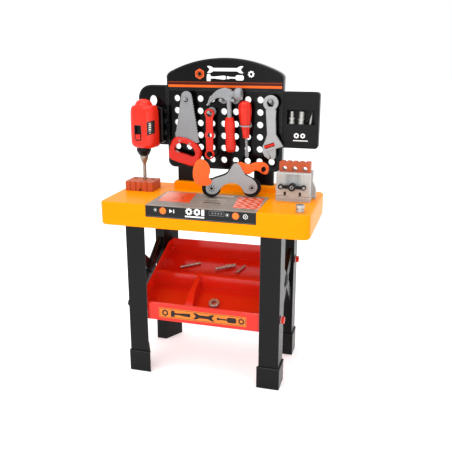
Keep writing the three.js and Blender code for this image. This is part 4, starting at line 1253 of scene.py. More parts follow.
def scaled(loop: Outline, wide: float, high: float) -> list[Point]:
    """Scale a loop about its own middle.

    Args:
        loop: points of the loop.
        wide: factor across.
        high: factor upwards.

    Returns:
        The scaled loop.
    """
    middle = sum((Vector(point) for point in loop), Vector((0, 0))) / len(loop)
    steps = [Vector(point) - middle for point in loop]
    return [(middle.x + step.x * wide, middle.y + step.y * high) for step in steps]


def hexagon(radius: float, centre: Point = (0.0, 0.0), turn: float = 0.0) -> list[Point]:
    """Hexagon with slightly rounded corners.

    Args:
        radius: to the corners.
        centre: middle of the hexagon.
        turn: angle of the first corner, in degrees.

    Returns:
        The outline.
    """
    return eased_corners(ring(radius, 6, centre, turn), radius * 0.12)


def cog(radius: float, centre: Point, teeth: int = 8, depth: float = 0.22) -> list[Point]:
    """Outline of a cog wheel.

    Args:
        radius: to the tips of the teeth.
        centre: middle of the cog.
        teeth: number of teeth.
        depth: depth of a tooth as a share of the radius.

    Returns:
        The outline.
    """
    made = []
    for i in range(teeth):
        for share, reach in ((0.0, 1.0), (0.38, 1.0), (0.5, 1 - depth), (0.88, 1 - depth)):
            angle, far = math.tau * (i + share) / teeth, radius * reach
            made.append((centre[0] + far * math.cos(angle), centre[1] + far * math.sin(angle)))
    return made


# -------------------------------------------------------------------- the bench


@dataclass
class Bench:
    """Yellow bench top with its saw-table sheet and control strip."""

    front: float = -125.7
    strip_knobs: tuple[float, float] = (-93.0, 87.0)
    knob: float = 8.5
    knob_height: float = 440.5

    def build(self) -> None:
        """Fit the top, the printed sheets and the printed signs of the strip."""
        fit_form("bench_top", "bench", Finish.YELLOW, 1.1, 3)
        for node, finish in (("saw_table_panel", Finish.TABLE), ("control_fascia", Finish.FASCIA)):
            fit_form(node, "bench", finish, 0.2)
        self.signs()

    def sign(
        self, name: str, outline: Outline, finish: Finish, holes: Iterable[Outline] = ()
    ) -> None:
        """Fit one raised printed sign on the control strip.

        Args:
            name: name of the sign.
            outline: its outer loop, as X and Z.
            finish: its finish.
            holes: its inner loops.
        """
        mesh = upright(outline, self.front - 0.22, self.front + 0.1, holes, 0.05)
        fit(f"strip_{name}", mesh, "bench", finish)

    def signs(self) -> None:
        """Fit the dots, the two printed knobs and the plain signs between them."""
        z, white = self.knob_height, Finish.CREAM
        for side, x in zip(("left", "right"), self.strip_knobs):
            rim = ring(self.knob - 1.0, 40, (x, z))
            self.sign(f"knob_{side}", ring(self.knob - 1.2, 40, (x, z)), Finish.LABEL)
            self.sign(f"knob_ring_{side}", ring(self.knob, 40, (x, z)), Finish.GLOW, [rim])
        for side, x in (("left", -112.0), ("right", 67.0)):
            at = (x, z + 1)
            self.sign(f"dot_{side}", ring(1.7, 20, at), white)
            self.sign(f"dot_ring_{side}", ring(4.4, 32, at), Finish.FRAME_GREY, [ring(3.5, 32, at)])
        play = [(-76, z - 4), (-76, z + 5), (-68, z + 0.5)]
        self.sign("sign_play", eased_corners(play, 0.8), white)
        self.sign("sign_bar", box_outline(-66, z - 4, -64, z + 5, 0.5), white)
        at = (110.5, z)
        self.sign("sign_cog", cog(6.2, at), white, [ring(4.0, 24, at)])
        self.sign("sign_hub", ring(1.5, 20, at), white)
        at = (-27.0, z + 2.5)
        self.sign("mark_cog", cog(9.0, at, 9), white, [ring(3.6, 24, at)])
        at = (-7.0, z + 2.5)
        self.sign("mark_hex", hexagon(8.8, at, 30), white, [hexagon(3.6, at, 30)])
        self.sign("mark_bar", box_outline(4.0, z - 5.5, 11.0, z + 9.6, 1.2), white)
        self.sign("mark_rule", box_outline(-37, z - 11.4, 11, z - 8.0, 0.8), white)


# ------------------------------------------------------------- side frames, boots


@dataclass
class SideFrames:
    """Two black side frames with their X braces, boots and bolts."""

    brace_middle: Span = (3.0, 246.0)
    boss_face: float = 190.5
    legs: tuple[Outline, Outline] = (
        ((145, -119), (195, -119), (195, -66), (171, -66)),
        ((171, 72), (195, 72), (195, 120), (145, 120)),
    )
    boot_tops: Span = (58.0, 63.0)
    boot_stands_out: float = 3.1
    bolts: tuple[tuple[str, float, float], ...] = (("front", -100.0, 181.0), ("rear", 97.0, 271.0))
    bolt_face: float = 203.7
    washer_face: float = 196.2

    def build(self) -> None:
        """Fit both sides."""
        for side, hand in (("left", -1), ("right", 1)):
            fit_form(f"side_frame_{side}", "bench", Finish.BLACK, 1.0)
            for end in ("front", "rear"):
                fit_form(f"foot_{end}_{side}", "bench", Finish.BLACK, 1.4, 3)
            self.boss(side, hand)
            self.boot_beads(side, hand)
            self.fit_bolts(side, hand)

    def boss(self, side: str, hand: int) -> None:
        """Fit the star and its collar in the middle of a brace.

        Args:
            side: name of the side.
            hand: 1 on the right and -1 on the left.
        """
        middle = self.brace_middle
        low, high = self.boss_face - 0.2, self.boss_face + 1.0
        collar = sideways(ring(15.5, 48, middle), low, high, [ring(12.0, 48, middle)], 0.5)
        star = cog(9.5, middle, 6, 0.42)
        badge = sideways(star, low, high + 0.4, [ring(3.2, 24, middle)], 0.5)
        for name, mesh in (("collar", collar), ("star", badge)):
            mesh.transform(Matrix.Scale(hand, 4, (1, 0, 0)))
            if hand < 0:
                mesh.flip_normals()
            fit(f"brace_{name}_{side}", mesh, "bench", Finish.BLACK)

    def boot_beads(self, side: str, hand: int) -> None:
        """Fit the bead round the top of each boot.

        Args:
            side: name of the side.
            hand: 1 on the right and -1 on the left.
        """
        for end, leg, top in zip(("front", "rear"), self.legs, self.boot_tops):
            loop = eased_corners(grown(leg, self.boot_stands_out), 2.5)
            path = [(hand * x, y, top - 2.2) for x, y in loop]
            fit(f"boot_bead_{end}_{side}", bar(path, 0.9, closed=True), "bench", Finish.BLACK)

    def fit_bolts(self, side: str, hand: int) -> None:
        """Fit the hex bolts that hold the tray, with a button, a washer and a cap on each.

        Args:
            side: name of the side.
            hand: 1 on the right and -1 on the left.
        """
        finish = Finish.RED if hand > 0 else Finish.BLACK
        outwards, inwards = spin(90 * hand, "Y"), spin(-90 * hand, "Y")
        for end, y, z in self.bolts:
            node = f"tray_bolt_{end}_{side}"
            fit_form(node, "bench", finish, 0.5)
            button = turned([(0, 0), (4.6, 0), (4.6, 0.5), (3.4, 1.1), (0, 1.3)], 32)
            moved(button, shift(hand * self.bolt_face, y, z), outwards)
            fit(f"bolt_button_{end}_{side}", button, "bench", finish)
            low, high = framed(node)
            plug = turned([(0, -4.4), (6.4, -4.4), (6.4, 0.5), (4.8, 1.5), (0, 1.9)], 36)
            moved(plug, shift(high.x if hand < 0 else low.x, y, z), inwards)
            fit(f"bolt_plug_{end}_{side}", plug, "bench", Finish.TRAY)
            washer = turned([(7.0, 0), (11.4, 0), (11.4, 0.4), (10.6, 0.9), (7.0, 0.9)], 40)
            moved(washer, shift(hand * self.washer_face, y, z), outwards)
            fit(f"bolt_washer_{end}_{side}", washer, "bench", Finish.PALE)


# --------------------------------------------------------------------- the tray


@dataclass
class Tray:
    """Red storage tray with its front label."""

    front: float = -113.0
    label: tuple[float, float, float, float] = (-116.0, 156.6, 112.0, 182.8)

    def build(self) -> None:
        """Fit the tray, the label's ground, frame and signs."""
        fit_form("storage_tray", "bench", Finish.TRAY, 1.0)
        low_x, low_z, high_x, high_z = self.label
        face = self.front
        ground = upright(box_outline(*self.label, 1.5), face - 0.35, face + 0.2, (), 0.1)
        fit("tray_label", ground, "bench", Finish.LABEL)
        outer, inner = (
            box_outline(low_x + gap, low_z + gap, high_x - gap, high_z - gap, corner)
            for gap, corner in ((1.6, 1.2), (2.6, 1.0))
        )
        rim = upright(outer, face - 0.5, face, [inner], 0.08)
        fit("tray_label_frame", rim, "bench", Finish.DARK)
        self.signs(face - 0.5, (low_z + high_z) / 2)

    def signs(self, face: float, z: float) -> None:
        """Fit the plain dark signs along the label: a nut, three tools and a cog.

        Args:
            face: Y of their front.
            z: height of their middle.
        """
        loops: list[tuple[str, Outline, list[Outline]]] = [
            ("nut", hexagon(9.2, (-99.5, z), 30), [ring(4.4, 24, (-99.5, z))]),
            ("hammer", hammer_sign(-84.0, z, 52.0, 17.5), []),
            ("wrench", wrench_sign(-26.0, z, 58.0, 17.5), []),
            ("screwdriver", screwdriver_sign(37.0, z, 50.0, 14.0), []),
            ("cog", cog(8.8, (99.5, z), 9), [ring(4.0, 24, (99.5, z))]),
        ]
        for name, outline, holes in loops:
            mesh = upright(outline, face, face + 0.4, holes, 0.06)
            fit(f"label_sign_{name}", mesh, "bench", Finish.DARK)


def hammer_sign(x: float, z: float, length: float, height: float) -> list[Point]:
    """Outline of a lying hammer, with its head at the left.

    Args:
        x: its left end.
        z: height of its middle.
        length: its length.
        height: height of its head.

    Returns:
        The outline.
    """
    h, end = height / 2, x + length
    return [
        (x, z - h), (x + 10, z - h), (x + 10, z - 3), (x + 19, z - 2.4), (end - 4, z - 5),
        (end, z - 3.5), (end, z + 3.5), (end - 4, z + 5), (x + 19, z + 2.4), (x + 10, z + 3),
        (x + 10, z + h - 2), (x + 6, z + h), (x + 1, z + h - 1), (x, z + 2),
    ]


def wrench_sign(x: float, z: float, length: float, height: float) -> list[Point]:
    """Outline of a lying open-ended wrench.

    Args:
        x: its left end.
        z: height of its middle.
        length: its length.
        height: height of its jaws.

    Returns:
        The outline.
    """
    h, end = height / 2, x + length
    lower = [
        (x + 1, z - h + 1), (x + 6, z - h), (x + 13, z - h + 2), (x + 17, z - 4),
        (end - 17, z - 4), (end - 13, z - h + 2), (end - 6, z - h), (end - 1, z - h + 1),
    ]
    upper = [(px, 2 * z - pz) for px, pz in reversed(lower)]
    return [*lower, (end - 7, z - 2), (end - 7, z + 2), *upper, (x + 7, z + 2), (x + 7, z - 2)]


def screwdriver_sign(x: float, z: float, length: float, height: float) -> list[Point]:
    """Outline of a lying screwdriver, with its handle at the right.

    Args:
        x: its left end.
        z: height of its middle.
        length: its length.
        height: height of its handle.

    Returns:
        The outline.
    """
    h, end, grip = height / 2, x + length, x + length * 0.52
    lower = [
        (x, z - 3.4), (x + 5, z - 3.4), (x + 7, z - 2), (grip, z - 2), (grip + 1, z - h + 1),
        (grip + 4, z - h), (end - 3, z - h), (end, z - h + 3),
    ]
    return [*lower, *[(px, 2 * z - pz) for px, pz in reversed(lower)]]


# --------------------------------------------------------------- board and pegs


@dataclass
class Board:
    """Header, pegboard, posts, side wing and the five pegs."""

    face: float = 82.6
    pitch: tuple[float, float] = (31.7, 31.3)
    lowest: float = 531.7
    hole: float = 8.1
    arch: float = 318.0
    arch_reach: float = 26.6
    arch_springs: float = 742.0
    pegs: tuple[tuple[str, int, int], ...] = (
        ("peg_saw", -3, 5),
        ("peg_spanner", -1, 4),
        ("peg_hammer_left", 0, 5),
        ("peg_hammer_right", 1, 5),
        ("peg_wrench", 4, 5),
    )

    def build(self) -> None:
        """Fit the panels, the header's signs and the pegs."""
        self.pegboard()
        self.header()
        self.wing()
        for side in ("left", "right"):
            fit_form(f"post_{side}", "bench", Finish.BLACK, 0.9)
        self.header_signs()
        self.fit_pegs()

    def pegboard(self) -> None:
        """Fit the board with its round holes."""
        low, high = framed("pegboard")
        across, up = self.pitch
        feet = [*self.corner((low.x, low.z), 18, 180), *self.corner((high.x, low.z), 18, 270)]
        outline = [*feet, (high.x, high.z), (low.x, high.z)]
        holes = [
            ring(self.hole, 28, (column * across, self.lowest + row * up))
            for column in range(-4, 5)
            for row in range(6)
        ]
        mesh = tray_panel(outline, low.y, high.y, 8.0, 3.0, holes)
        fit("pegboard_panel", mesh, "bench", Finish.GLOSS, "pegboard")

    def header(self) -> None:
        """Fit the arched header."""
        low, high = framed("header_panel")
        radius, half, count = self.arch, high.x, 24
        arch = []
        for k in range(-count, count + 1):
            angle = math.radians(self.arch_reach * k / count)
            rise = high.z - radius + radius * math.cos(angle)
            arch.append((radius * math.sin(angle), rise))
        start, end = Vector(arch[0]), Vector((-half, self.arch_springs))
        control = Vector((-half + 0.4, arch[0][1] - 6.2))
        shoulder = bend(start, control, end, (0.2, 0.4, 0.6, 0.8, 1.0))
        outline = [
            (-half, low.z), (half, low.z), *[(-x, z) for x, z in reversed(shoulder)],
            *reversed(arch), *shoulder,
        ]
        mesh = tray_panel(outline, low.y, high.y, 4.0, 3.0)
        fit("header_arch", mesh, "bench", Finish.HEADER, "header_panel")

    def wing(self) -> None:
        """Fit the side wing with its oval hole."""
        low, high = framed("drill_wing")
        middle = (high.x - 38.5, high.z - 40)
        outline = [
            *self.corner((low.x, low.z), 8, 180), (high.x, low.z), (high.x, high.z),
            *self.corner((low.x, high.z), 35, 90),
        ]
        oval = [(middle[0] + x * 10, middle[1] + z * 13) for x, z in ring(1, 36)]
        panel = tray_panel(outline, low.y, high.y, 4.0, 3.0, [oval])
        fit("wing_panel", panel, "bench", Finish.GLOSS, "drill_wing")
        lip = [(middle[0] + x * 10.6, low.y + 0.5, middle[1] + z * 13.6) for x, z in ring(1, 40)]
        fit("wing_hole_lip", bar(lip, 0.6, closed=True), "bench", Finish.GLOSS)

    def corner(self, tip: Point, radius: float, start: float) -> list[Point]:
        """Quarter circle inside a corner of a box.

        Args:
            tip: the corner.
            radius: of the quarter circle.
            start: angle at which it starts, in degrees; 180 is the lower left corner.

        Returns:
            Points from the start on, counter-clockwise.
        """
        side_x = -1 if start in (90, 180) else 1
        side_z = -1 if start in (180, 270) else 1
        middle = (tip[0] - side_x * radius, tip[1] - side_z * radius)
        return [
            (
                middle[0] + radius * math.cos(math.radians(start + 90 * k / 9)),
                middle[1] + radius * math.sin(math.radians(start + 90 * k / 9)),
            )
            for k in range(10)
        ]

    def sign(
        self, name: str, outline: Outline, finish: Finish, holes: Iterable[Outline] = ()
    ) -> None:
        """Fit one printed sign on the header.

        Args:
            name: name of the sign.
            outline: its outer loop, as X and Z.
            finish: its finish.
            holes: its inner loops.
        """
        mesh = upright(outline, self.face - 0.4, self.face + 0.3, holes, 0.08)
        fit(f"header_sign_{name}", mesh, "bench", finish)

    def header_signs(self) -> None:
        """Fit the nut and the plain tool signs on the header."""
        at = (-64.0, 750.3)
        self.sign("nut", hexagon(13.4, at, 30), Finish.GLOW, [ring(5.2, 32, at)])
        self.sign("nut_ring", ring(8.4, 40, at), Finish.DARK, [ring(6.6, 40, at)])
        self.sign("wrench", wrench_sign(-45.0, 761.5, 97.0, 18.0), Finish.CREAM)
        self.sign("hammer", hammer_sign(-45.0, 741.8, 50.0, 18.0), Finish.CREAM)
        self.sign("screwdriver", screwdriver_sign(8.0, 741.8, 44.0, 13.0), Finish.CREAM)
        at = (71.0, 751.0)
        self.sign("cog", cog(8.6, at, 8), Finish.CREAM, [ring(3.6, 24, at)])

    def fit_pegs(self) -> None:
        """Fit each turned peg: plug, flange, rod and knob."""
        profile = [
            (0, -7), (6.6, -7), (7.3, -6.2), (7.3, 0.3), (11, 0.3), (11, 2.3), (7.0, 2.9),
            (4.6, 3.6), (4.0, 5), (4.0, 26.5), (4.25, 28), (4.25, 32), (3.4, 33), (0, 33),
        ]
        for node, column, row in self.pegs:
            centre = (column * self.pitch[0], self.face, self.lowest + row * self.pitch[1])
            mesh = moved(turned(profile, 40, 0.35), shift(*centre), spin(90, "X"))
            fit(node + "_turned", mesh, "bench", Finish.GREY, node)


# --------------------------------------------------------------------- the tools


@dataclass
class Saw:
    """Grey saw plate with a red handle."""

    origin: Spot = (-95.1, 61.0, 686.4)
    grip: Outline = (
        (-31, -97), (-45, -122), (-47, -150), (-36, -157), (-8, -165),
        (20, -170), (40, -146), (38, -123), (16, -103), (-8, -96),
    )
    opening: Outline = (
        (-27, -116), (-31, -131), (-6, -139), (20, -145), (26, -137), (16, -119), (-10, -110),
    )
    rivets: tuple[Span, Span] = ((-16.0, -104.0), (12.0, -111.0))
    spine: Outline = ((-12, -14), (-17.5, -60), (-23, -96))

    def build(self) -> None:
        """Fit the plate, the handle, its raised rims and the rivets."""
        fit_form("saw_blade", "saw", Finish.GREY, 0.5)
        fit_form("saw_handle", "saw", Finish.RED, 2.2, 4)
        at = shift(*self.origin)
        outer = smooth_loop(scaled(self.grip, 0.90, 0.90), 6)
        inner = smooth_loop(scaled(self.opening, 1.16, 1.16), 6)
        for side, low, high in (("front", -9.8, -8.2), ("back", 8.2, 9.8)):
            pad = upright(outer, low, high, [inner], 0.7)
            fit(f"saw_grip_pad_{side}", moved(pad, at), "saw", Finish.RED)
        for index, (x, z) in enumerate(self.rivets):
            rivet = turned([(0, 0), (3.2, 0), (3.2, 19.6), (2.4, 20.4), (0, 20.6)], 28, 0.3)
            moved(rivet, at, shift(x, 10.3, z), spin(90, "X"))
            fit(f"saw_rivet_{index}", rivet, "saw", Finish.GREY)
        for side, y in (("front", -1.5), ("back", 1.5)):
            rib = bar([(x, y, z) for x, z in self.spine], 0.7)
            fit(f"saw_spine_{side}", moved(rib, at), "saw", Finish.GREY)


@dataclass
class Spanner:
    """Red spanner with three rings."""

    origin: Spot = (-31.7, 61.0, 653.4)
    rings: tuple[Span, ...] = ((0.0, 8.0), (-55.0, 6.0), (-105.0, 8.5))

    def build(self) -> None:
        """Fit the strap, the raised rim of each ring and the ribs between them."""
        fit_form("hole_spanner", "spanner", Finish.RED, 1.0, 3)
        at = shift(*self.origin)
        for index, (z, hole) in enumerate(self.rings):
            outer, inner = (ring(hole + gap, 44, (0, z)) for gap in (2.6, 0.1))
            mesh = upright(outer, -4.0, 4.0, [inner], 0.9)
            fit(f"spanner_rim_{index}", moved(mesh, at), "spanner", Finish.RED)
        for index, z in enumerate((-28.0, -80.0)):
            for side, low, high in (("front", -3.6, -2.8), ("back", 2.8, 3.6)):
                rib = upright(box_outline(-4.2, z - 11, 4.2, z + 11, 3.5), low, high, (), 0.35)
                fit(f"spanner_rib_{index}_{side}", moved(rib, at), "spanner", Finish.RED)


@dataclass
class Hammer:
    """Grey claw hammer with a red grip."""

    origin: Spot = (19.0, 61.0, 693.5)
    tilt: float = -2.5
    squash: float = 0.85
    poll_height: float = 8.5
    claw: Outline = (
        (8, 19), (-2, 23.6), (-9, 25), (-24, 22), (-38, 13), (-51, -2), (-55.6, -15), (-56, -17),
        (-54, -15.5), (-42, -7), (-30, 0), (-20, 0.4), (-12, -1.4), (-6, -6.5), (0, -8),
        (7, -7.5), (9.5, 0), (10, 10),
    )
    poll: Outline = (
        (0, 2), (9.2, 2), (8.6, 8), (8, 12.5), (10.4, 15), (13.2, 18), (15.2, 20.2), (15.5, 21.5),
        (15.5, 31.5), (14.6, 33.4), (13, 34), (0, 34),
    )
    grip: Outline = (
        (0, -137), (7, -136.6), (11.2, -134.4), (13.4, -130), (14, -123), (13.4, -114),
        (12.2, -103), (11.8, -94), (12.2, -84), (13.5, -72), (13.6, -66), (12.5, -58),
        (10.6, -50), (9.6, -48), (0, -48),
    )
    grip_rings: tuple[Span, ...] = (
        (-122.0, 13.9), (-114.0, 13.4), (-106.0, 12.4), (-98.0, 11.9), (-90.0, 11.9), (-82.0, 12.4),
    )

    def build(self) -> None:
        """Fit the head, the face of the poll, the grip and its rings."""
        at = (shift(*self.origin), spin(self.tilt, "Y"))
        claw = upright(smooth_loop(self.claw, 5), -7.5, 7.5, (), 2.6)
        fit("hammer_claw", moved(claw, *at), "hammer", Finish.GREY, "hammer_head")
        poll = moved(turned(self.poll, 56, 0.5), *at, shift(0, 0, self.poll_height), spin(90, "Y"))
        fit("hammer_poll", poll, "hammer", Finish.GREY)
        neck = turned([(0, -69), (5.8, -69), (5.8, -30), (6.0, -12), (7.2, -4), (0, -2)], 40, 0.6)
        fit("hammer_neck", moved(neck, *at), "hammer", Finish.GREY)
        grip = moved(turned(self.grip, 64, 1.4), *at, Matrix.Scale(self.squash, 4, (0, 1, 0)))
        fit("hammer_grip", grip, "hammer", Finish.RED, "hammer_handle")
        for index, (z, reach) in enumerate(self.grip_rings):
            path = [(x, y * self.squash, z) for x, y in ring(reach, 48)]
            mesh = moved(bar(path, 0.75, closed=True), *at)
            fit(f"hammer_grip_ring_{index}", mesh, "hammer", Finish.RED)
        face = turned([(0, 0), (11.5, 0), (12.6, 0.6), (12.6, 1.2), (0, 1.2)], 44)
        moved(face, *at, shift(33.2, 0, self.poll_height), spin(90, "Y"))
        fit("hammer_poll_face", face, "hammer", Finish.GREY)
        cap = turned([(0, 0), (6.4, 0), (6.0, 1.0), (0, 1.4)], 36)
        fit("hammer_eye_cap", moved(cap, *at, shift(-1, 0, 18.4)), "hammer", Finish.GREY)


@dataclass
class Screwdriver:
    """Red-handled screwdriver hung in a grey ring."""

    origin: Spot = (63.4, 61.0, 625.6)
    tilt: float = -3.0

    def build(self) -> None:
        """Fit the ring, the fluted handle, the collar and the shank."""
        fit_form("ring_screwdriver", "screwdriver", Finish.GREY, 0.7)
        at = (shift(*self.origin), spin(self.tilt, "Y"))
        profile = [
            (0, -27), (8, -27), (9, -24), (9.6, -12), (12, -1.5), (12.3, 2), (14.6, 15),
            (17, 34), (17.3, 44), (15.5, 54), (10, 60), (4, 61.8), (0, 62),
        ]
        handle = moved(turned(profile, 72, 1.6, 8, 1.3), *at)
        fit("screwdriver_grip", handle, "screwdriver", Finish.RED, "screwdriver_handle")
        collar = turned([(6, -31), (7.6, -31), (8.6, -29.6), (8.6, -26.4), (6, -26.4)], 44, 0.4)
        fit("screwdriver_collar", moved(collar, *at), "screwdriver", Finish.RED)
        fit_form("screwdriver_shank", "screwdriver", Finish.GREY, 0.4)
        bead = turned([(2.0, -42), (3.9, -42), (4.3, -41), (3.9, -40), (2.0, -40)], 32)
        fit("screwdriver_shank_bead", moved(bead, *at), "screwdriver", Finish.GREY)


@dataclass
class Wrench:
    """Grey adjustable wrench with a sliding jaw and a red worm."""

    origin: Spot = (126.8, 61.0, 683.6)
    tilt: float = -1.5
    shaft: Outline = ((-8.5, -28), (8.5, -28), (8.8, -60), (8.6, -78), (-6.0, -78), (-7.8, -50))

    def build(self) -> None:
        """Fit the body, the jaw, the worm and the raised rims."""
        fit_form("wrench_body", "wrench", Finish.PALE, 0.9)
        fit_form("wrench_jaw", "wrench_jaw", Finish.PALE, 0.6)
        fit_form("wrench_worm", "wrench_worm", Finish.RED, 0.3)
        at = (shift(*self.origin), spin(self.tilt, "Y"))
        for side, low, high in (("front", -5.2, -4.2), ("back", 4.2, 5.2)):
            eye = upright(ring(16.6, 52), low, high, [ring(12.8, 52)], 0.4)
            fit(f"wrench_eye_rim_{side}", moved(eye, *at), "wrench", Finish.PALE)
            outer = eased_corners(self.shaft, 3)
            inner = eased_corners(scaled(self.shaft, 0.72, 0.90), 3)
            mesh = moved(upright(outer, low, high, [inner], 0.35), *at)
            fit(f"wrench_shaft_rim_{side}", mesh, "wrench", Finish.PALE)


# ---------------------------------------------------------------------- the drill


@dataclass
class Drill:
    """Red drill standing with its bit in a grooved block."""

    origin: Spot = (-209.0, 46.0, 0.0)
    yaw: float = -12.0
    window: tuple[float, float, float, float] = (-6.5, 583.0, 14.5, 623.0)
    grille: tuple[float, float, float] = (-14.0, 590.0, 620.0)
    shell: tuple[tuple[float, float, float, float], ...] = (
        (563, 24, 20, 8), (564, 28, 24, 8), (567, 32, 27, 8), (571, 34.6, 29, 8), (578, 36, 30, 8),
        (600, 36.4, 30, 8), (640, 36.2, 30, 8), (656, 35.6, 29.6, 8), (663, 34, 28.6, 7.6),
        (668, 31.4, 27, 7), (670.6, 28, 25, 6), (671.6, 24.6, 23, 5), (672.2, 22.8, 22.4, 4.4),
        (674, 22, 22, 4), (678, 20.6, 20.6, 4), (682, 17.4, 17.4, 4), (685.4, 12.4, 12.4, 4),
        (687.4, 6, 6, 4),
    )
    seam: tuple[Span, ...] = (
        (-30.1, 625), (-30.1, 640), (-29.7, 656), (-28.6, 663), (-27, 668),
    )
    chuck: Outline = (
        (0, 540.9), (11, 540.9), (12, 541.4), (15, 545.7), (19, 553.7), (19, 561.5), (0, 561.5),
    )
    cone: Outline = (
        (4.7, 519.4), (7.2, 523.8), (9.4, 529.5), (10.8, 534.4), (11, 540.2), (0, 540.4),
    )

    def build(self) -> None:
        """Fit the housing, grip, spindle, switch, block and their details."""
        at = (shift(*self.origin), spin(self.yaw, "Z"))
        self.housing(at)
        fit_form("drill_grip", "drill", Finish.GLOSS, 2.0, 3)
        fit_form("drill_switch", "drill_switch", Finish.RED, 0.6)
        fit_form("drill_block", "drill_block", Finish.BRICK, 0.5)
        self.spindle(at)
        self.lining(at)
        self.vents(at)
        self.block_holes(at)

    def slice(self, height: float, wide: float, deep: float, middle: float) -> list[Spot]:
        """One level outline of the shell, square with full corners low down, round on the dome.

        Args:
            height: its level.
            wide: half its width.
            deep: half its depth.
            middle: how far its middle lies from the bit's axis.

        Returns:
            Points of the outline.
        """
        count, dome = 72, 674.0
        power = 2 / (3.2 if wide > deep + 1 else 2.0 + max(0.0, dome - height) * 0.3)
        made = []
        for i in range(count):
            angle = math.tau * i / count
            across, along = (
                math.copysign(abs(part) ** power, part)
                for part in (math.cos(angle), math.sin(angle))
            )
            made.append((middle + wide * across, deep * along, height))
        return made

    def opening(self, inset: float, corner: float, ease: float) -> list[Point]:
        """Outline of the switch window, with its lower corners cut off.

        Args:
            inset: distance inside the window's edge.
            corner: how far from the window's corner each cut begins.
            ease: rounding of the corners.

        Returns:
            The outline.
        """
        low_x, low_z, high_x, high_z = self.window
        loop = [
            (low_x + inset, low_z + corner), (low_x + corner, low_z + inset),
            (high_x - corner, low_z + inset), (high_x - inset, low_z + corner),
            (high_x - inset, high_z - inset), (low_x + inset, high_z - inset),
        ]
        return eased_corners(loop, ease)

    def housing(self, at: Sequence[Matrix]) -> None:
        """Fit the shell: level outlines skinned up to the dome, with the switch window cut in.

        Args:
            at: placement of the drill.
        """
        body = skinned([self.slice(*level) for level in self.shell])
        body = carved(body, upright(self.opening(0, 4, 1.5), -45.0, -24.9, (), 0.1))
        fit("drill_shell", moved(body, *at), "drill", Finish.DRILL, "drill_housing")
        seam = bar([(8, y, z) for y, z in self.seam], 0.35)
        fit("drill_seam", moved(seam, *at), "drill", Finish.DRILL)

    def lining(self, at: Sequence[Matrix]) -> None:
        """Fit the black lining of the switch window.

        Args:
            at: placement of the drill.
        """
        outer = self.opening(0, 4, 1.5)
        border = upright(outer, -30.7, -24.9, [self.opening(1.2, 4.5, 1.2)], 0.4)
        back = upright(outer, -25.22, -24.7, (), 0.1)
        fit("drill_window_lining", moved(joined(border, back), *at), "drill", Finish.GLOSS)

    def spindle(self, at: Sequence[Matrix]) -> None:
        """Fit the chuck with its ribs, the cone and the bit with its ribs.

        Args:
            at: placement of the drill.
        """
        chuck = moved(turned(self.chuck, 96, 0.5, 24, 0.7), *at)
        fit("drill_chuck_ribbed", chuck, "drill_spindle", Finish.GLOSS, "drill_chuck")
        base = framed("drill_bit")[0].z
        steps = [(0, base), (4.0, base), (4.7, base + 1)]
        z, pitch, last = base + 6, 7, 514
        while z < last:
            steps += [(4.7, z), (4.2, z + 0.8), (4.2, z + 2.2), (4.7, z + 3)]
            z += pitch
        bit = moved(turned([*steps, *self.cone], 48), *at)
        fit("drill_bit_turned", bit, "drill_spindle", Finish.BRONZE, "drill_bit")

    def vents(self, at: Sequence[Matrix]) -> None:
        """Fit the cooling ribs of the shell's back.

        Args:
            at: placement of the drill.
        """
        first, low, high = self.grille
        ribs = [
            upright(box_outline(x, low, x + 3, high, 1.4), 29.2, 31.0, (), 0.5)
            for x in (first + 6 * k for k in range(8))
        ]
        fit("drill_ribs_back", moved(joined(*ribs), *at), "drill", Finish.DRILL)

    def block_holes(self, at: Sequence[Matrix]) -> None:
        """Fit two dark discs low in the block's front, painted shade that stands for two holes.

        Args:
            at: placement of the drill.
        """
        holes = [ring(2.6, 24, (x, 457.2)) for x in (-17.5, 13.3)]
        # Painted shade: dark discs where the insides of two holes lie in shadow.
        hole_shade_discs = joined(*(upright(hole, -44.2, -43.4, (), 0.1) for hole in holes))
        fit("drill_block_hole_shade", moved(hole_shade_discs, *at), "drill_block", Finish.DARK)


# ----------------------------------------------------------------------- the vise


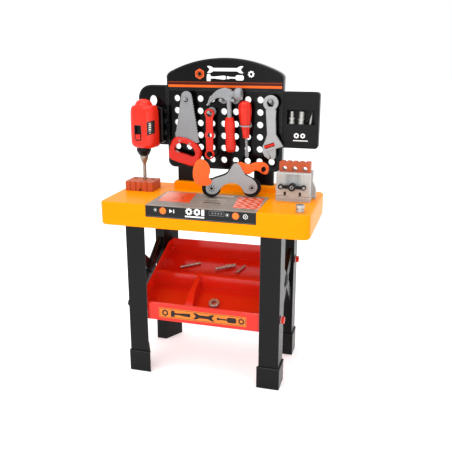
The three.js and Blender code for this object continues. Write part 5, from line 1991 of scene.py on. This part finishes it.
@dataclass
class Vise:
    """Grey toy vise with its black lever and the brick in it."""

    x: float = 198.5
    lever_height: float = 490.7

    def build(self) -> None:
        """Fit the body, jaw, lever, brick and the dark patches painted as the shade in the slots.
        """
        fit_form("vise_body", "bench", Finish.VISE, 0.9)
        fit_form("vise_jaw", "vise_jaw", Finish.VISE, 0.9)
        fit_form("vise_screw", "vise_screw", Finish.GLOSS, 1.2, 3)
        fit_form("vise_block", "vise_block", Finish.BRICK, 0.7)
        self.lever_inserts()
        self.slots()
        self.jaw_channel()

    def lever_inserts(self) -> None:
        """Fit the grey round inserts of the lever's hub and ends."""
        face = framed("vise_screw")[0].y + 0.9
        for name, x, r in (("left", -28.0, 3.4), ("hub", -1.0, 4.6), ("right", 28.0, 3.4)):
            cap = turned([(0, 0), (r, 0), (r, 0.9), (r - 1.2, 1.3), (1.4, 0.5), (0, 0.5)], 36)
            moved(cap, shift(self.x + x, face, self.lever_height), spin(90, "X"))
            fit(f"vise_insert_{name}", cap, "vise_screw", Finish.GREY)

    def slots(self) -> None:
        """Fit two dark patches in the jaw plate as painted shade of two slots, and the pale strip
        of the base.
        """
        face = framed("vise_jaw")[0].y
        for name, x in (("left", 179.0), ("right", 216.0)):
            # Painted shade: a dark patch where the inside of a slot lies in shadow.
            loop = box_outline(x - 3, 467.5, x + 3, 477, 1.6)
            mesh = upright(loop, face - 0.3, face + 0.5, (), 0.2)
            fit(f"vise_slot_shade_{name}", mesh, "vise_jaw", Finish.DARK)
        face = framed("vise_body")[0].y
        loop = box_outline(self.x - 40, 455.5, self.x + 40, 462.5, 1.2)
        strip = upright(loop, face - 0.4, face + 0.4, (), 0.3)
        fit("vise_base_strip", strip, "bench", Finish.PALE)

    def jaw_channel(self) -> None:
        """Fit the raised border of the jaw's channel and the round column in it."""
        face = framed("vise_jaw")[0].y
        outer = box_outline(self.x - 19.5, 486.0, self.x + 18.5, 521.6, 1.5)
        inner = box_outline(self.x - 16, 488.7, self.x + 15, 519.3, 1.0)
        rim = upright(outer, face - 0.7, face + 0.5, [inner], 0.3)
        fit("vise_channel_rim", rim, "vise_jaw", Finish.PALE)
        left, wide, count = self.x - 13.5, 26, 16
        curve = [
            (left + wide * k / count, face + 3.1 - 2.6 * math.sin(math.pi * k / count))
            for k in range(count + 1)
        ]
        loop = [*curve, (left + wide, face + 3.4), (left, face + 3.4)]
        column = plate(loop, 489.0, 519.0, (), 0.2)
        fit("vise_channel_column", column, "vise_jaw", Finish.PALE)


# ---------------------------------------------------------------------- the bike


@dataclass
class Bike:
    """Build-it-yourself bike: two plates, two wheels, an orange fairing and seat."""

    origin: Spot = (41.0, 8.0, 452.7)
    yaw: float = 18.0
    axles: tuple[float, float] = (-50.5, 50.5)
    axle_height: float = 24.3
    plate_face: float = -12.35

    def build(self) -> None:
        """Fit plates, fairing, seat and wheels."""
        fit_form("bike_frame_front", "bike", Finish.PALE, 0.9)
        fit_form("bike_frame_rear", "bike", Finish.BLACK, 0.9)
        fit_form("bike_fairing", "bike", Finish.ORANGE, 1.4, 3)
        fit_form("bike_seat", "bike", Finish.ORANGE, 1.8, 3)
        at = (shift(*self.origin), spin(self.yaw, "Z"))
        for side, x in zip(("left", "right"), self.axles):
            self.wheel(side, (*at, shift(x, 0, self.axle_height), spin(90, "X")))
            self.hub(side, x, at)
        rim = [(x, -6.3, z) for x, z in ring(8.6, 40, (80, 70))]
        fit("bike_seat_eye", moved(bar(rim, 0.8, closed=True), *at), "bike", Finish.ORANGE)

    def wheel(self, side: str, at: Sequence[Matrix]) -> None:
        """Fit one tyre with its tread and side walls, and its spokes.

        Args:
            side: name of the side.
            at: placement of the wheel.
        """
        node = f"bike_wheel_{side}"
        wall = [
            (7.4, -7), (8, -6.6), (8, -5.2), (11, -4.6), (17.5, -4.6), (19, -6.4), (20.5, -7),
            (22, -6.6), (24, -4.4),
        ]
        profile = [(0, -7), *wall, *[(r, -y) for r, y in reversed(wall)], (0, 7)]
        tyre = turned(profile, 72, 0.4)
        fit(node + "_tyre", moved(tyre, *at), node, Finish.TYRE, node)
        loop = box_outline(8.5, -1.4, 18.2, 1.4, 0.8)
        spokes = [
            moved(plate(loop, -5.6, 5.6, (), 0.5), spin(turn, "Z")) for turn in range(0, 360, 60)
        ]
        fit(node + "_spokes", moved(joined(*spokes), *at), node, Finish.TYRE)

    def hub(self, side: str, x: float, at: Sequence[Matrix]) -> None:
        """Fit the ring of dark slots and the pale bead on the front plate.

        Args:
            side: name of the side.
            x: place of the axle along the bike.
            at: placement of the bike.
        """
        face = self.plate_face
        place = (*at, shift(x, 0, self.axle_height))
        loop = box_outline(5.2, -1.0, 8.4, 1.0, 0.8)
        slots = [
            moved(upright(loop, face, face + 0.6, (), 0.15), spin(turn, "Y"))
            for turn in range(0, 360, 45)
        ]
        fit(f"bike_hub_slots_{side}_0", moved(joined(*slots), *place), "bike", Finish.DARK)
        bead = bar([(px, face, pz) for px, pz in ring(10.4, 44)], 0.55, closed=True)
        fit(f"bike_hub_bead_{side}_0", moved(bead, *place), "bike", Finish.PALE)


# --------------------------------------------------------------------- the pouch


@dataclass
class Pouch:
    """Black hanging pouch with two bolts and a bit."""

    contents: tuple[str, ...] = ("pouch_bolt_a", "pouch_bolt_b", "pouch_bit")

    def build(self) -> None:
        """Fit the pouch, its sign and what stands in it."""
        fit_form("tool_pouch", "bench", Finish.POUCH, 1.1, 3)
        face = framed("tool_pouch")[0].y
        marks = [
            ("cog", cog(7.0, (190.0, 603.0), 8), [ring(2.9, 24, (190.0, 603.0))]),
            ("hex", hexagon(6.6, (206.0, 603.0), 30), [ring(2.8, 24, (206.0, 603.0))]),
            ("rule", box_outline(182, 589.5, 219, 591.8, 0.7), []),
        ]
        for name, loop, holes in marks:
            sign = upright(loop, face - 0.4, face + 0.2, holes, 0.08)
            fit(f"pouch_sign_{name}", sign, "bench", Finish.CREAM)
        for node in self.contents:
            fit_form(node, node, Finish.SILVER, 0.4)


@dataclass
class LooseParts:
    """Bits, bolts and nuts that lie in the tray and on the bench."""

    names: tuple[str, ...] = ("loose_bit", "loose_bolt", "loose_pin", "loose_ring_nut", "loose_nut")

    def build(self) -> None:
        """Fit each one with rounded edges."""
        for node in self.names:
            fit_form(node, node, Finish.SILVER, 0.4)


# ---------------------------------------------------------------------- the studio


@dataclass
class Studio:
    """Pale floor, soft lights and the camera."""

    camera_at: Spot = (0.4392, -1.4654, 0.8205)
    looks_at: Spot = (0.0289, 0.0, 0.3769)
    lens: float = 49.4
    sensor: float = 36.0
    sky: float = 1.0
    floor_glow: float = 0.32
    floor_half: float = 14.0
    floor_drop: float = -0.0004
    lamps: tuple[tuple[str, Spot, float, float], ...] = (
        ("key", (-1.0, -1.7, 2.4), 1.2, 12.0),
        ("fill", (1.9, -1.3, 1.2), 1.4, 2.0),
        ("top", (0.1, -0.2, 2.6), 1.6, 19.0),
        ("low", (0.1, -2.1, 0.62), 1.0, 5.0),
    )

    def build(self) -> None:
        """Make the floor, the world, the lights and the camera."""
        self.floor()
        world = bpy.data.worlds.new("studio")
        bpy.context.scene.world = world
        world.use_nodes = True
        background = world.node_tree.nodes["Background"]
        background.inputs["Color"].default_value = WHITE
        background.inputs["Strength"].default_value = self.sky
        for name, place, size, power in self.lamps:
            self.lamp(name, place, size, power)
        data = bpy.data.cameras.new("camera")
        data.lens, data.sensor_width = self.lens, self.sensor
        camera = bpy.data.objects.new("camera", data)
        bpy.context.scene.collection.objects.link(camera)
        self.aim(camera, self.camera_at, self.looks_at)
        bpy.context.scene.camera = camera
        bpy.context.scene.view_settings.view_transform = "Standard"

    def aim(self, thing: bpy.types.Object, place: Point, target: Point) -> None:
        """Put a lamp or camera somewhere and point it at a target.

        Args:
            thing: the lamp or camera.
            place: where it stands, in metres.
            target: what it looks at, in metres.
        """
        thing.location = place
        toward = Vector(target) - Vector(place)
        thing.rotation_euler = toward.to_track_quat("-Z", "Y").to_euler()

    def lamp(self, name: str, place: Point, size: float, power: float) -> None:
        """Add a soft square lamp aimed at the bench.

        Args:
            name: name of the lamp.
            place: where it stands, in metres.
            size: its side, in metres.
            power: its power, in watts.
        """
        data = bpy.data.lights.new(name, "AREA")
        data.shape, data.size, data.energy = "SQUARE", size, power
        lamp = bpy.data.objects.new(name, data)
        bpy.context.scene.collection.objects.link(lamp)
        self.aim(lamp, place, self.looks_at)

    def floor(self) -> None:
        """Lay a wide pale floor."""
        work = bmesh.new()
        bmesh.ops.create_grid(work, x_segments=12, y_segments=12, size=self.floor_half)
        for vertex in work.verts:
            vertex.co.z = self.floor_drop
        mesh = bpy.data.meshes.new("floor")
        work.to_mesh(mesh)
        work.free()
        mesh.shade_smooth()
        sheet = Sheet("floor paper")
        drift = sheet.noise((3, 3, 3), 3.0)
        sockets = {
            "Base Color": sheet.mix(drift, linear("F6F6F6"), linear("FBFBFB")),
            "Roughness": 0.6 + drift * 0.1,
            "Specular IOR Level": 0.1,
            "Emission Color": WHITE,
            "Emission Strength": self.floor_glow,
        }
        sheet.plug(sheet.shader, sockets)
        mesh.materials.append(sheet.material)
        floor = bpy.data.objects.new("floor", mesh)
        bpy.context.scene.collection.objects.link(floor)
        floor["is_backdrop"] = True


def corners(box: tuple[Vector, Vector]) -> list[list[float]]:
    """Write a box as plain lists; its argument is its lowest and highest corner."""
    return [list(corner) for corner in box]


def main() -> None:
    """Build every part of the workbench in order."""
    logging.basicConfig(level=logging.INFO, format="%(name)s: %(message)s")
    parts = (
        Studio(), Bench(), SideFrames(), Tray(), Board(), Saw(), Spanner(), Hammer(),
        Screwdriver(), Wrench(), Drill(), Vise(), Bike(), Pouch(), LooseParts(),
    )
    for part in parts:
        LOG.info("building %s", type(part).__name__)
        part.build()
    {"cad": corners(CAD_BOX), "visual": corners(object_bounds())}


if __name__ == "__main__":
    main()
